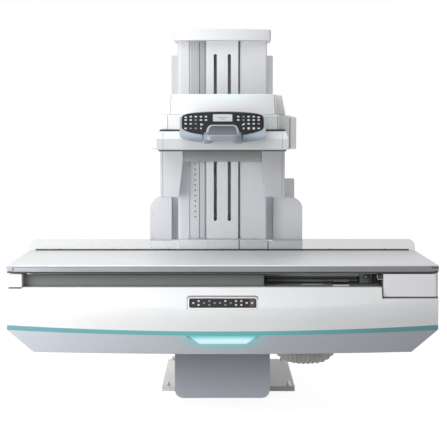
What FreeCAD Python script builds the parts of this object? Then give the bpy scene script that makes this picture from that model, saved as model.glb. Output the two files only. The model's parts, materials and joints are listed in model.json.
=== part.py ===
"""Tilting fluoroscopy table with a rear tower and an imaging head.

Millimetres. X runs to the right along the table, Y away from the operator and Z up.
The origin lies on the floor, under the tilt axis, 250 mm behind the stand's front face.
"""
import FreeCAD, Part

import math
import os
import Sketcher
from types import SimpleNamespace

Vector = FreeCAD.Vector

doc = FreeCAD.newDocument("FluoroscopyTable")
sheet = doc.addObject("Spreadsheet::Sheet", "sizes")

SIZES = (
    # name, size, meaning
    ("top_length", 2140, "length of the tabletop and of the table body"),
    ("top_width", 800, "tabletop width"),
    ("top_height", 850, "tabletop surface above the floor"),
    ("top_skin", 6, "tabletop sheet thickness"),
    ("top_core", 18, "stiffening core under the sheet"),
    ("rail_height", 27, "tabletop edge rail height"),
    ("rail_width", 24, "tabletop edge rail width"),
    ("cap_length", 35, "tabletop end cap length"),
    ("guard_height", 63, "rear guard height above the tabletop"),
    ("guard_thick", 6, "rear guard thickness"),
    ("guard_round", 42, "rear guard corner radius"),
    ("frame_thick", 10.7, "sliding frame thickness"),
    ("frame_inset", 170, "sliding frame end to the tabletop end"),
    ("frame_beam", 40, "sliding frame beam width"),
    ("slide_gap", 0.3, "running gap between sliding faces"),
    ("stand_face", 250, "stand front face to the origin"),
    ("top_setback", 86, "tabletop rear edge to the stand's face"),
    ("body_setback", 150, "table body rear face to the stand's face"),
    ("deck_thick", 12, "deck sheet thickness"),
    ("slot_height", 65.7, "clear height of the cassette slot"),
    ("beam_width", 80, "rear beam width"),
    ("end_thick", 30, "end cover thickness"),
    ("fairing_thick", 24, "fairing thickness at the ends"),
    ("crease_bow", 84, "forward bow of the crease"),
    ("band_bow", 104, "forward bow of the light band"),
    ("belly_end_inset", 117, "underside end to the table end"),
    ("belly_inset", 96, "underside front edge behind the fairing"),
    ("belly_bow", 60, "forward bow of the underside edge"),
    ("belly_thick", 12, "underside sheet thickness"),
    ("rear_thick", 12, "rear cover sheet thickness"),
    ("belly_back", 130, "rear of the underside's front shell behind the fairing"),
    ("lens_top_width", 360, "light recess width at the top"),
    ("lens_low_width", 232, "light recess width at the bottom"),
    ("lens_top_reach", 56, "light lens upper edge ahead of the tabletop front"),
    ("lens_low_reach", 31, "light lens lower edge ahead of the tabletop front"),
    ("lens_back", 8, "light lens rear ahead of the tabletop front"),
    ("panel_width", 332, "control strip width"),
    ("panel_height", 50, "control strip height"),
    ("panel_thick", 10, "control strip thickness"),
    ("left_block_width", 66, "left end block width"),
    ("left_block_inset", 11, "left end block to the table's end"),
    ("block_depth", 176, "end block depth"),
    ("right_block_width", 274, "right end block width"),
    ("notch_gap", 8, "gap between the right end block and the fairing"),
    ("shaft_radius", 90, "tilt shaft radius"),
    ("bearing_radius", 120, "tilt bearing outer radius"),
    ("bearing_length", 38, "tilt bearing length"),
    ("shaft_sink", 168, "tilt shaft depth inside the stand"),
    ("bore_spare", 10, "bore depth behind the shaft"),
    ("plate_width", 380, "tilt plate width"),
    ("plate_above", 132, "tilt plate above the axis"),
    ("plate_drop", 180, "tilt plate below the axis"),
    ("plate_thick", 25, "tilt plate thickness"),
    ("plate_round", 40, "tilt plate corner radius"),
    ("plate_gap", 65, "tilt plate to the stand's face"),
    ("track_height", 24, "tilt track height"),
    ("track_depth", 25, "tilt track depth"),
    ("track_inset", 8, "tilt track edge to the tilt plate edge"),
    ("track_left", 470, "tilt track reach to the left"),
    ("track_end_gap", 85, "tilt track right end to the table end"),
    ("shoe_length", 120, "guide shoe length"),
    ("shoe_wall", 8, "guide shoe wall"),
    ("shoe_gap", 0.5, "guide shoe running gap"),
    ("mast_rail_height", 24, "tower rail height"),
    ("mast_rail_inset", 170, "tower rail end to the table end"),
    ("saddle_width", 400, "tower saddle width"),
    ("saddle_shelf", 49, "tower saddle shelf thickness"),
    ("tower_gap", 8, "tower riser to the stand's face plane"),
    ("saddle_riser", 69, "tower saddle riser thickness"),
    ("mast_width", 496, "tower column width"),
    ("mast_depth", 140, "tower column depth"),
    ("channel_width", 160, "tower inner channel width"),
    ("channel_depth", 110, "tower inner channel depth"),
    ("mast_panel_width", 178, "tower centre panel width"),
    ("mast_panel_thick", 16, "tower centre panel thickness"),
    ("slit_width", 17, "long slit width"),
    ("slit_place", 39, "long slit centre from the tower's middle"),
    ("groove_width", 9, "shadow groove right of the centre panel"),
    ("groove_depth", 14, "shadow groove depth"),
    ("wing_recess", 8, "left wing recess depth"),
    ("scale_left", 176, "height scale left edge from the tower's middle"),
    ("scale_right", 128, "height scale right edge from the tower's middle"),
    ("scale_thick", 4, "height scale thickness"),
    ("back_width", 572, "tower back channel width"),
    ("back_depth", 80, "tower back channel depth"),
    ("mast_cap_width", 540, "tower cap width"),
    ("mast_cap_height", 62, "tower cap height"),
    ("mast_cap_bow", 50, "forward bow of the tower cap"),
    ("shroud_left", 411, "left shroud outer edge"),
    ("shroud_right", 454, "right shroud outer edge"),
    ("shroud_round", 64, "shroud outer corner radius"),
    ("shroud_front", 172, "shroud front face to the origin"),
    ("shroud_back", 34, "shroud rear face to the origin"),
    ("guide_left", 351, "cable guide left edge"),
    ("guide_right", 416, "cable guide right edge"),
    ("guide_depth", 46, "cable guide depth"),
    ("tray_ledge", 58, "imaging head tray side past the upper housing"),
    ("tray_top_ledge", 45, "imaging head tray side above its chamfer past the upper housing"),
    ("tray_front", 1082, "imaging head tray front to the origin"),
    ("tray_back", 274, "imaging head tray rear to the origin"),
    ("tray_chamfer", 37, "imaging head tray chamfer depth"),
    ("film_gap", 4, "black film slot height"),
    ("film_inset", 6, "black film slot behind the tray's top edge"),
    ("shoulder_ledge", 11, "shoulder side past the upper housing"),
    ("shoulder_front", 1036, "shoulder front at the ends to the origin"),
    ("shoulder_bow", 16, "forward bow of the shoulder"),
    ("shoulder_back", 420, "shoulder rear to the origin"),
    ("housing_width", 542, "upper housing width"),
    ("housing_front", 1012, "upper housing front at the ends to the origin"),
    ("housing_top_front", 990, "upper housing front at the top to the origin"),
    ("housing_bow", 36, "forward bow of the upper housing"),
    ("housing_back", 480, "upper housing rear to the origin"),
    ("cheek_gap", 1, "head side unit to the shoulder"),
    ("cheek_width", 95, "head side unit width"),
    ("cheek_front", 850, "head side unit front to the origin"),
    ("cheek_back", 560, "head side unit rear to the origin"),
    ("cheek_room", 6, "head side panel to the imaging head tray"),
    ("cheek_step", 10, "head side panel top below the side unit's"),
    ("ear_low_width", 53, "upper side piece outer edge to the housing at the bottom"),
    ("ear_top_width", 31, "upper side piece outer edge to the housing at the top"),
    ("skirt_outer", 346, "hanging skirt outer edge"),
    ("skirt_inner_top", 218, "hanging skirt inner edge at the top"),
    ("skirt_inner_low", 240, "hanging skirt inner edge at the bottom"),
    ("skirt_front", 328, "hanging skirt front to the origin"),
    ("skirt_back", 272, "hanging skirt rear to the origin"),
    ("truck_gap", 6, "lift truck clearance inside the column"),
    ("tongue_width", 12, "lift tongue width in the slit"),
    ("console_width", 402, "console width"),
    ("console_front", 1150, "console lower front to the origin"),
    ("console_top_front", 1104, "console upper front to the origin"),
    ("keypad_thick", 8, "keypad thickness"),
    ("grip_width", 194, "console grip width"),
    ("grip_front", 1226, "console grip front to the origin"),
    ("grip_tube", 30, "console grip bar thickness"),
    ("bucky_length", 557, "cassette unit length"),
    ("bucky_inset", 305, "cassette unit right end to the table end"),
    ("bucky_front", 962, "cassette unit front to the origin"),
    ("bucky_back", 492, "cassette unit rear to the origin"),
    ("bucky_gap", 6, "cassette unit clearance under the sliding frame"),
    ("bucky_side", 8, "cassette unit wall thickness"),
    ("bucky_head", 75, "cassette unit head beside its mouth"),
    ("cassette_gap", 5, "cassette tray clearance"),
    ("cassette_thick", 24, "cassette tray thickness"),
    ("pull_width", 76, "cassette pull width"),
    ("pull_inset", 161, "cassette pull centre to the unit's right end"),
    ("pull_reach", 19, "cassette pull ahead of the unit"),
    ("stand_width", 538, "stand front cover width"),
    ("stand_foot_round", 48, "stand front cover lower corner radius"),
    ("stand_top_round", 260, "stand front cover upper corner radius"),
    ("cover_thick", 12, "stand front cover thickness"),
    ("cover_lip", 7, "stand front cover reach past the housing"),
    ("housing_depth", 338, "stand housing depth"),
    ("foot_width", 430, "stand foot width"),
    ("base_left", 350, "base plate left edge"),
    ("base_right", 421, "base plate right edge"),
    ("base_front", 54, "base plate front edge ahead of the origin"),
    ("base_rear", 846, "base plate rear edge"),
    ("base_thick", 29, "base plate thickness"),
    ("anchor_inset_x", 34, "anchor hole to the plate's side"),
    ("anchor_inset_y", 30, "anchor hole to the plate's front and rear"),
    ("anchor_radius", 9, "anchor hole radius"),
    ("cabinet_width", 516, "drive cabinet width"),
    ("cabinet_depth", 700, "drive cabinet depth"),
    ("cabinet_round", 30, "drive cabinet corner radius"),
    ("sleeve_radius", 35, "cable sleeve radius"),
    ("sleeve_setback", 50, "cable sleeve centre ahead of the body's rear"),
    ("gland_radius", 46, "sleeve gland radius"),
    ("gland_thick", 15, "sleeve gland thickness"),
)

RISES = (
    # heights above the slot floor
    ("mast_rail_low", 25, "tower rail lower edge"),
    ("saddle_low", 17, "tower saddle lower edge"),
    ("saddle_high", 168, "tower saddle upper edge"),
    ("mast_low", 147, "tower lower edge"),
    ("mast_high", 1268, "tower upper edge"),
    ("channel_low", 230, "tower inner channel lower end"),
    ("channel_high", 1245, "tower inner channel upper end"),
    ("slit_low", 276, "long slit lower end"),
    ("slit_high", 1187, "long slit upper end"),
    ("scale_low", 270, "height scale lower end"),
    ("back_high", 1195, "tower back channel upper edge"),
    ("shroud_high", 393, "shroud upper edge"),
    ("guide_high", 497, "cable guide upper edge"),
    ("tray_low", 679, "imaging head tray lower face"),
    ("tray_edge", 734, "imaging head tray chamfer"),
    ("tray_high", 772, "imaging head tray upper face"),
    ("shoulder_high", 852, "shoulder upper edge"),
    ("housing_high", 956, "upper housing upper edge"),
    ("cheek_drop", 678, "head side panel lower edge"),
    ("cheek_high", 852, "head side unit upper edge"),
    ("skirt_low", 405, "hanging skirt lower edge"),
    ("bar_low", 600, "crossbar lower edge"),
    ("truck_low", 690, "lift truck lower edge"),
    ("truck_high", 765, "lift truck upper edge"),
    ("console_low", 708, "console body lower edge"),
    ("console_high", 866, "console upper edge"),
    ("keypad_low", 756, "keypad lower edge"),
    ("grip_low", 706, "console grip lower edge"),
    ("grip_high", 794, "console grip upper edge"),
    ("stand_high", 129, "stand top"),
    ("cabinet_high", 90, "drive cabinet upper face"),
)

DROPS = (
    # depths below the slot floor
    ("crease_end", 70, "fairing crease at the ends"),
    ("crease_mid", 95, "fairing crease at the middle"),
    ("band_top_end", 188, "light band upper edge at the ends"),
    ("band_top_mid", 204, "light band upper edge at the middle"),
    ("band_low_end", 212, "light band lower edge at the ends"),
    ("band_low_mid", 224, "light band lower edge at the middle"),
    ("belly_low", 340, "underside"),
    ("lens_top", 228, "light recess upper edge"),
    ("lens_low", 277, "light recess lower edge"),
    ("panel_place", 70, "control strip centre"),
    ("right_block_low", 47, "right end block lower edge"),
    ("axis", 140, "tilt axis"),
)

for row, (name, size, meaning) in enumerate(SIZES + RISES + DROPS, start=1):
    sheet.set(f"A{row}", meaning)
    sheet.set(f"B{row}", str(size))
    sheet.setAlias(f"B{row}", name)
doc.recompute()


class Size:
    """A length with the sheet expression that it is worked out from."""

    def __init__(self, text, value):
        self.text = text
        self.value = value

    def __add__(self, other):
        other = as_size(other)
        return Size(f"({self.text} + {other.text})", self.value + other.value)

    def __sub__(self, other):
        other = as_size(other)
        return Size(f"({self.text} - {other.text})", self.value - other.value)

    def __truediv__(self, number):
        return Size(f"({self.text} / {number})", self.value / number)

    def __mul__(self, number):
        return Size(f"({self.text} * {number})", self.value * number)

    def __neg__(self):
        return Size(f"(0 - {self.text})", -self.value)


def as_size(value):
    """A plain number is taken as a size without a cell."""
    if isinstance(value, Size):
        return value
    return Size(str(value), float(value))


def cell(row):
    """The size that a table row names."""
    return Size(f"sizes.{row[0]}", float(sheet.get(row[0])))


S = SimpleNamespace(**{row[0]: cell(row) for row in SIZES})
ZERO = as_size(0)
nodes = []


def keep(obj):
    """Lists an object as a sub-part that gets a file of its own."""
    nodes.append(obj)
    return obj


def block(label, x, y, z):
    """A box between the low and high value of each axis."""
    box = doc.addObject("Part::Box", label)
    for prop, axis, (low, high) in zip(("Length", "Width", "Height"), "xyz", (x, y, z)):
        box.setExpression(prop, (high - low).text)
        box.setExpression(f"Placement.Base.{axis}", low.text)
    return box


def rod(label, radius, low, high, centre):
    """A cylinder along Y from low to high, at an X and Z centre."""
    obj = doc.addObject("Part::Cylinder", label)
    obj.Placement = FreeCAD.Placement(Vector(), FreeCAD.Rotation(Vector(1, 0, 0), -90))
    obj.setExpression("Radius", radius.text)
    obj.setExpression("Height", (high - low).text)
    for axis, place in zip("xyz", (centre[0], low, centre[1])):
        obj.setExpression(f"Placement.Base.{axis}", place.text)
    return obj


def post(label, radius, low, high, centre):
    """A cylinder along Z from low to high, at an X and Y centre."""
    obj = doc.addObject("Part::Cylinder", label)
    obj.setExpression("Radius", radius.text)
    obj.setExpression("Height", (high - low).text)
    for axis, place in zip("xyz", (centre[0], centre[1], low)):
        obj.setExpression(f"Placement.Base.{axis}", place.text)
    return obj


def cut(label, base, *tools):
    """The base with every tool taken away."""
    tool = tools[0]
    if len(tools) > 1:
        tool = join(label + "_tools", *tools)
    obj = doc.addObject("Part::Cut", label)
    obj.Base = base
    obj.Tool = tool
    return obj


def join(label, *shapes):
    """Shapes fused into one object; those that don't touch stay apart as solids."""
    obj = doc.addObject("Part::MultiFuse", label)
    obj.Shapes = list(shapes)
    obj.Refine = True
    return obj


def overlap(label, first, second):
    """What two shapes have in common."""
    obj = doc.addObject("Part::Common", label)
    obj.Base = first
    obj.Tool = second
    return obj


PLANES = {
    # plane: origin feature, sign that turns a place along the normal into an offset
    "XY": ("XY_Plane", 1),
    "XZ": ("XZ_Plane", -1),
    "YZ": ("YZ_Plane", 1),
}


def prism(label, plane, corners, low, high, rounds=()):
    """A padded outline: corners are pairs on the plane, rounds pair corner numbers and a radius."""
    role, sign = PLANES[plane]
    body = doc.addObject("PartDesign::Body", label)
    sketch = body.newObject("Sketcher::SketchObject", label + "_sketch")
    origin = [item for item in body.Origin.OriginFeatures if item.Role == role][0]
    sketch.AttachmentSupport = [(origin, "")]
    sketch.MapMode = "FlatFace"
    start = low if sign > 0 else -high
    sketch.setExpression("AttachmentOffset.Base.z", start.text)
    spots = [Vector(u.value, v.value, 0) for u, v in corners]
    count = len(spots)
    for index, spot in enumerate(spots):
        sketch.addGeometry(Part.LineSegment(spot, spots[(index + 1) % count]))
    for index in range(count):
        sketch.addConstraint(Sketcher.Constraint("Coincident", index, 2, (index + 1) % count, 1))
    for index, pair in enumerate(corners):
        for kind, size in zip(("DistanceX", "DistanceY"), pair):
            number = sketch.addConstraint(Sketcher.Constraint(kind, -1, 1, index, 1, size.value))
            sketch.setExpression(f"Constraints[{number}]", size.text)
    pad = body.newObject("PartDesign::Pad", label + "_pad")
    pad.Profile = sketch
    pad.setExpression("Length", (high - low).text)
    feature = pad
    for turn, (numbers, radius) in enumerate(rounds):
        doc.recompute()
        fillet = body.newObject("PartDesign::Fillet", f"{label}_round_{turn}")
        fillet.Base = (feature, edges_at(sketch, feature, numbers))
        fillet.setExpression("Radius", radius.text)
        feature = fillet
    body.Tip = feature
    return body


def edges_at(sketch, feature, numbers):
    """Names of the feature's edges that rise from the numbered corners of its sketch."""
    normal = sketch.Placement.Rotation.multVec(Vector(0, 0, 1))
    names = []
    for number in numbers:
        spot = sketch.Placement.multVec(sketch.getPoint(number, 1))
        for place, edge in enumerate(feature.Shape.Edges, start=1):
            ends = [vertex.Point - spot for vertex in edge.Vertexes]
            if all(end.cross(normal).Length < 0.01 for end in ends):
                names.append(f"Edge{place}")
    return names


def rectangle(x, z):
    """The four corners of a rectangle, counted from the lower left."""
    return [(x[0], z[0]), (x[1], z[0]), (x[1], z[1]), (x[0], z[1])]


def front_edge(level):
    """The front edge of one level: a line, or an arc through the bowed middle."""
    half, z_end, z_mid, front, bow = level
    left = Vector(-half, front, z_end)
    right = Vector(half, front, z_end)
    if bow == 0:
        return Part.LineSegment(left, right).toShape()
    return Part.Arc(left, Vector(0, front - bow, z_mid), right).toShape()


def bowed_shell(levels, back):
    """A solid behind a bowed front, from levels of (half width, end z, middle z, front y, bow)."""
    faces = []
    fronts = [front_edge(level) for level in levels]
    for upper, lower in zip(fronts, fronts[1:]):
        faces.append(Part.makeRuledSurface(upper, lower))
    for front, level in ((fronts[0], levels[0]), (fronts[-1], levels[-1])):
        half, z_end, z_mid, y_front, bow = level
        spots = [Vector(x, y, z_end) for x, y in
                 ((-half, y_front), (half, y_front), (half, back), (-half, back))]
        faces.append(Part.Face(Part.makePolygon(spots + spots[:1])))
        if bow:
            chord = Part.LineSegment(spots[1], spots[0]).toShape()
            faces.append(Part.Face(Part.Wire([front, chord])))
    for sign in (-1, 1):
        spots = [Vector(sign * level[0], level[3], level[1]) for level in levels]
        spots += [Vector(sign * levels[-1][0], back, levels[-1][1])]
        spots += [Vector(sign * levels[0][0], back, levels[0][1])]
        faces.append(Part.Face(Part.makePolygon(spots + spots[:1])))
    rear = [Vector(sign * level[0], back, level[1])
            for sign, level in ((-1, levels[0]), (1, levels[0]), (1, levels[-1]), (-1, levels[-1]))]
    faces.append(Part.Face(Part.makePolygon(rear + rear[:1])))
    shell = Part.makeShell(faces)
    shell.sewShape()
    solid = Part.makeSolid(shell)
    if solid.Volume < 0:
        solid.reverse()
    return solid


def feature(label, shape):
    """A sub-part whose shape is given directly."""
    obj = doc.addObject("Part::Feature", label)
    obj.Shape = shape
    return obj


def values(*sizes):
    """Plain numbers of some sizes."""
    return [as_size(size).value for size in sizes]


def both(half):
    """The two ends of a span that is centred on the middle plane."""
    return (-half, half)


half_top = S.top_length / 2
half_body = half_top
y_stand = -S.stand_face
y_top_back = y_stand - S.top_setback
y_front = y_top_back - S.top_width
y_body_back = y_stand - S.body_setback
y_fairing_back = y_front + S.fairing_thick
z_sheet_low = S.top_height - S.top_skin
z_rail_low = z_sheet_low - S.rail_height
z_slide = z_rail_low - S.slide_gap - S.frame_thick
z_beam_top = z_slide - S.slide_gap
z_deck = z_beam_top - S.slot_height
Z = SimpleNamespace(**{row[0]: z_deck + cell(row) for row in RISES},
                    **{row[0]: z_deck - cell(row) for row in DROPS})


def make_stand():
    """The floor-fixed stand: base plate, foot, housing, front cover, cabinet and bearing."""
    half = S.stand_width / 2
    y_cover_back = y_stand + S.cover_thick
    y_housing_back = y_cover_back + S.housing_depth
    y_base = (-S.base_front, S.base_rear)

    plate = block("base_blank", (-S.base_left, S.base_right), y_base, (ZERO, S.base_thick))
    holes = []
    for side, x in (("left", S.anchor_inset_x - S.base_left), ("right", S.base_right - S.anchor_inset_x)):
        for end, y in (("front", y_base[0] + S.anchor_inset_y), ("rear", y_base[1] - S.anchor_inset_y)):
            holes.append(post(f"anchor_{side}_{end}", S.anchor_radius, ZERO, S.base_thick, (x, y)))
    keep(cut("base_plate", plate, *holes))

    keep(block("stand_foot", both(S.foot_width / 2), (y_cover_back, y_base[0]), (ZERO, S.base_thick)))

    cover = prism("cover_blank", "XZ", rectangle(both(half), (ZERO, Z.stand_high)), y_stand, y_cover_back,
                  (((0, 1), S.stand_foot_round), ((2, 3), S.stand_top_round)))
    window = rod("cover_window", S.bearing_radius, y_stand, y_cover_back, (ZERO, Z.axis))
    keep(cut("stand_front_cover", cover, window))

    inner = half - S.cover_lip
    housing = prism("housing_blank", "XZ",
                    rectangle(both(inner), (S.base_thick, Z.stand_high - S.cover_lip)),
                    y_cover_back, y_housing_back, (((2, 3), S.stand_top_round - S.cover_lip),))
    bore = rod("housing_bore", S.bearing_radius, y_cover_back,
               y_stand + S.shaft_sink + S.bore_spare, (ZERO, Z.axis))
    keep(cut("stand_housing", housing, bore))

    ring = rod("bearing_blank", S.bearing_radius, y_cover_back, y_cover_back + S.bearing_length,
               (ZERO, Z.axis))
    hole = rod("bearing_hole", S.shaft_radius + S.slide_gap, y_cover_back,
               y_cover_back + S.bearing_length, (ZERO, Z.axis))
    keep(cut("tilt_bearing", ring, hole))

    keep(prism("drive_cabinet", "XZ",
               rectangle(both(S.cabinet_width / 2), (S.base_thick, Z.cabinet_high)),
               y_housing_back, y_housing_back + S.cabinet_depth, (((2, 3), S.cabinet_round),)))


def make_tilt_head():
    """What turns on the stand: the shaft, the plate and four shoes that hold the table's tracks."""
    y_plate_back = y_stand - S.plate_gap
    y_plate = y_plate_back - S.plate_thick
    z_low = Z.axis - S.plate_drop
    z_high = Z.axis + S.plate_above
    keep(rod("tilt_shaft", S.shaft_radius, y_plate_back, y_stand + S.shaft_sink, (ZERO, Z.axis)))
    keep(prism("tilt_plate", "XZ", rectangle(both(S.plate_width / 2), (z_low, z_high)),
               y_plate, y_plate_back, (((0, 1, 2, 3), S.plate_round),)))

    shoes = []
    reach = S.plate_width / 2
    y_track = (y_body_back, y_body_back + S.track_depth)
    for level, z in (("low", z_low + S.track_inset), ("high", z_high - S.track_inset - S.track_height)):
        channel_z = (z - S.shoe_gap, z + S.track_height + S.shoe_gap)
        shoe_z = (channel_z[0] - S.shoe_wall + S.shoe_gap, channel_z[1] + S.shoe_wall - S.shoe_gap)
        for side, x in (("left", -reach), ("right", reach - S.shoe_length)):
            span = (x, x + S.shoe_length)
            name = f"shoe_{level}_{side}"
            outer = block(name + "_blank", span, (y_body_back + S.shoe_gap, y_plate), shoe_z)
            channel = block(name + "_channel", span, (y_body_back, y_track[1] + S.shoe_gap), channel_z)
            shoes.append(cut(name, outer, channel))
    keep(join("tilt_shoes", *shoes))

    tracks = []
    for level, z in (("low", z_low + S.track_inset), ("high", z_high - S.track_inset - S.track_height)):
        tracks.append(block(f"track_{level}", (-S.track_left, half_body - S.track_end_gap), y_track,
                            (z, z + S.track_height)))
    keep(join("tilt_tracks", *tracks))


def fairing_levels():
    """Levels of the table's front, top to bottom, as plain numbers."""
    half, front = values(half_body, y_front)
    top = (half, *values(z_deck, z_deck), front, 0)
    crease = (half, *values(Z.crease_end, Z.crease_mid), front, S.crease_bow.value)
    band_top = (half, *values(Z.band_top_end, Z.band_top_mid), front, S.band_bow.value)
    band_low = (half, *values(Z.band_low_end, Z.band_low_mid), front, S.band_bow.value)
    belly_half = (half_body - S.belly_end_inset).value
    belly = (belly_half, *values(Z.belly_low, Z.belly_low, y_front + S.belly_inset, S.belly_bow))
    return top, crease, band_top, band_low, belly


def make_table_body():
    """The tilting table body: covers, deck, beams, end blocks, lamp, control strip and sleeve."""
    top, crease, band_top, band_low, belly = fairing_levels()
    inner = half_body - S.end_thick
    y_inside = (y_fairing_back, y_body_back)
    z_deck_low = z_deck - S.deck_thick

    keep(block("slot_deck", both(inner), y_inside, (z_deck_low, z_deck)))
    keep(block("rear_beam", both(inner), (y_body_back - S.beam_width, y_body_back),
               (z_deck, z_beam_top)))
    keep(block("rear_cover", both(inner), (y_body_back - S.rear_thick, y_body_back),
               (Z.band_low_end, z_deck_low)))
    ends = []
    for side, x in (("left", (-half_body, -inner)), ("right", (inner, half_body))):
        ends.append(block(f"end_{side}", x, y_inside, (Z.band_low_end, z_deck)))
    keep(join("end_covers", *ends))

    blank = feature("fairing_blank", bowed_shell((top, crease, band_top), y_fairing_back.value))
    x_block = half_body - S.right_block_width
    notch = block("fairing_notch", (x_block - S.notch_gap, half_body + S.notch_gap),
                  (y_front - S.crease_bow, y_fairing_back),
                  (Z.right_block_low - S.notch_gap, z_deck + S.notch_gap))
    pocket = panel_plate("panel_pocket", S.panel_thick, S.slide_gap)
    keep(cut("front_fairing", blank, notch, pocket))
    keep(panel_plate("control_panel", ZERO, ZERO))
    keep(feature("light_band", bowed_shell((band_top, band_low), y_fairing_back.value)))

    y_shell_back = y_front + S.belly_back
    shell = feature("belly_blank", bowed_shell((band_low, belly), y_shell_back.value))
    keep(cut("belly_front", shell, lens_outline("lens_pocket", S.slide_gap, y_front - S.band_bow)))
    keep(make_lens())
    half_belly = half_body - S.belly_end_inset
    keep(block("belly_floor", both(half_belly), (y_shell_back, y_body_back),
               (Z.belly_low, Z.belly_low + S.belly_thick)))
    z_floor = Z.belly_low + S.belly_thick
    slope = []
    for side, sign in (("left", -1), ("right", 1)):
        corners = [(half_belly * sign, Z.belly_low), (half_body * sign, Z.band_low_end),
                   ((half_body - S.end_thick) * sign, Z.band_low_end),
                   ((half_belly - S.belly_thick) * sign, z_floor), (half_belly * sign, z_floor)]
        slope.append(prism(f"slope_{side}", "XZ", corners, y_shell_back, y_body_back))
    keep(join("belly_ends", *slope))
    keep(prism("belly_rear", "XZ",
               [(S.belly_thick - half_belly, z_floor), (half_belly - S.belly_thick, z_floor),
                (inner, Z.band_low_end), (-inner, Z.band_low_end)],
               y_body_back - S.belly_thick, y_body_back))

    y_block = (y_front, y_front + S.block_depth)
    x_left = S.left_block_inset - half_body
    keep(block("left_end_block", (x_left, x_left + S.left_block_width), y_block,
               (z_deck, z_beam_top)))
    outline = [(y_block[0], Z.right_block_low), (y_fairing_back, Z.right_block_low),
               (y_fairing_back, z_deck), (y_block[1], z_deck),
               (y_block[1], z_beam_top), (y_block[0], z_beam_top)]
    keep(prism("right_end_block", "YZ", outline, x_block, half_body))

    half_rail = half_body - S.mast_rail_inset
    keep(block("tower_rail", both(half_rail), (y_body_back, y_body_back + S.track_depth),
               (Z.mast_rail_low, Z.mast_rail_low + S.mast_rail_height)))


def panel_plate(label, proud, gap):
    """A plate square to the sloping face between the fairing's top and crease, proud of it or flush."""
    rise = (z_deck - Z.crease_mid).value
    run = S.crease_bow.value
    share = (z_deck - Z.panel_place).value / rise
    width, height = (S.panel_width + gap * 2).value, (S.panel_height + gap * 2).value
    thick = (S.panel_thick + proud).value
    obj = feature(label, Part.makeBox(width, thick, height, Vector(-width / 2, -proud.value, -height / 2)))
    obj.Placement = FreeCAD.Placement(
        Vector(0, y_front.value - run * share + gap.value, Z.panel_place.value),
        FreeCAD.Rotation(Vector(1, 0, 0), -math.degrees(math.atan2(run, rise))))
    return obj


SLANT_SHARE = 3  # sideways room at the recess's wide edge, in gaps, that keeps its slanted sides clear


def lens_outline(label, gap, y_ahead):
    """The light recess seen from the front, wide at its top, from y_ahead to its rear."""
    wide, narrow = S.lens_top_width / 2 + gap * SLANT_SHARE, S.lens_low_width / 2 + gap
    corners = [(-narrow, Z.lens_low - gap), (narrow, Z.lens_low - gap),
               (wide, Z.lens_top + gap), (-wide, Z.lens_top + gap)]
    return prism(label, "XZ", corners, y_ahead, y_front - S.lens_back + gap)


def make_lens():
    """The glowing filler, whose face leans back downwards with the underside's front."""
    y_top, y_low, y_back = (y_front - reach for reach in (S.lens_top_reach, S.lens_low_reach, S.lens_back))
    side = prism("lens_side", "YZ", [(y_top, Z.lens_top), (y_low, Z.lens_low), (y_back, Z.lens_low),
                                     (y_back, Z.lens_top)], *both(S.lens_top_width / 2))
    return overlap("light_lens", lens_outline("lens_front", ZERO, y_top), side)


SLEEVE_ROUTE = (
    # x, drop below the gland
    (306, 0),
    (306, 58),
    (352, 104),
    (450, 120),
    (548, 112),
    (598, 60),
    (598, 0),
)


def make_sleeve():
    """The cable sleeve that hangs in a loop under the body, and the two glands that it leaves."""
    y_sleeve = y_body_back - S.sleeve_setback
    z_gland = Z.belly_low - S.gland_thick
    glands = []
    for side, spot in (("left", SLEEVE_ROUTE[0]), ("right", SLEEVE_ROUTE[-1])):
        glands.append(post(f"gland_{side}", S.gland_radius, z_gland, Z.belly_low,
                           (as_size(spot[0]), y_sleeve)))
    keep(join("sleeve_glands", *glands))
    route = [Vector(x, y_sleeve.value, z_gland.value - drop) for x, drop in SLEEVE_ROUTE]
    path = rounded_path(route)
    circle = Part.makeCircle(S.sleeve_radius.value, route[0], route[1] - route[0])
    tube = path.makePipeShell([Part.Wire([circle])], True, True)
    expected = math.pi * S.sleeve_radius.value ** 2 * path.Length
    print(f"sleeve length {path.Length:.1f}, volume ratio {tube.Volume / expected:.4f}")
    keep(feature("cable_sleeve", tube))


def rounded_path(route):
    """Straight runs joined by tangent arcs, each as large as its two runs allow."""
    edges = []
    start = route[0]
    for before, corner, after in zip(route, route[1:], route[2:]):
        back, ahead = before - corner, after - corner
        half_turn = (math.pi - back.getAngle(ahead)) / 2
        trim = 0.45 * min(back.Length, ahead.Length)
        radius = trim / math.tan(half_turn)
        print(f"sleeve bend radius {radius:.0f}")
        back.normalize()
        ahead.normalize()
        first, last = corner + back * trim, corner + ahead * trim
        inward = back + ahead
        inward.normalize()
        middle = corner + inward * (radius / math.cos(half_turn) - radius)
        edges.append(Part.LineSegment(start, first).toShape())
        edges.append(Part.Arc(first, middle, last).toShape())
        start = last
    edges.append(Part.LineSegment(start, route[-1]).toShape())
    return Part.Wire(edges)


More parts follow.
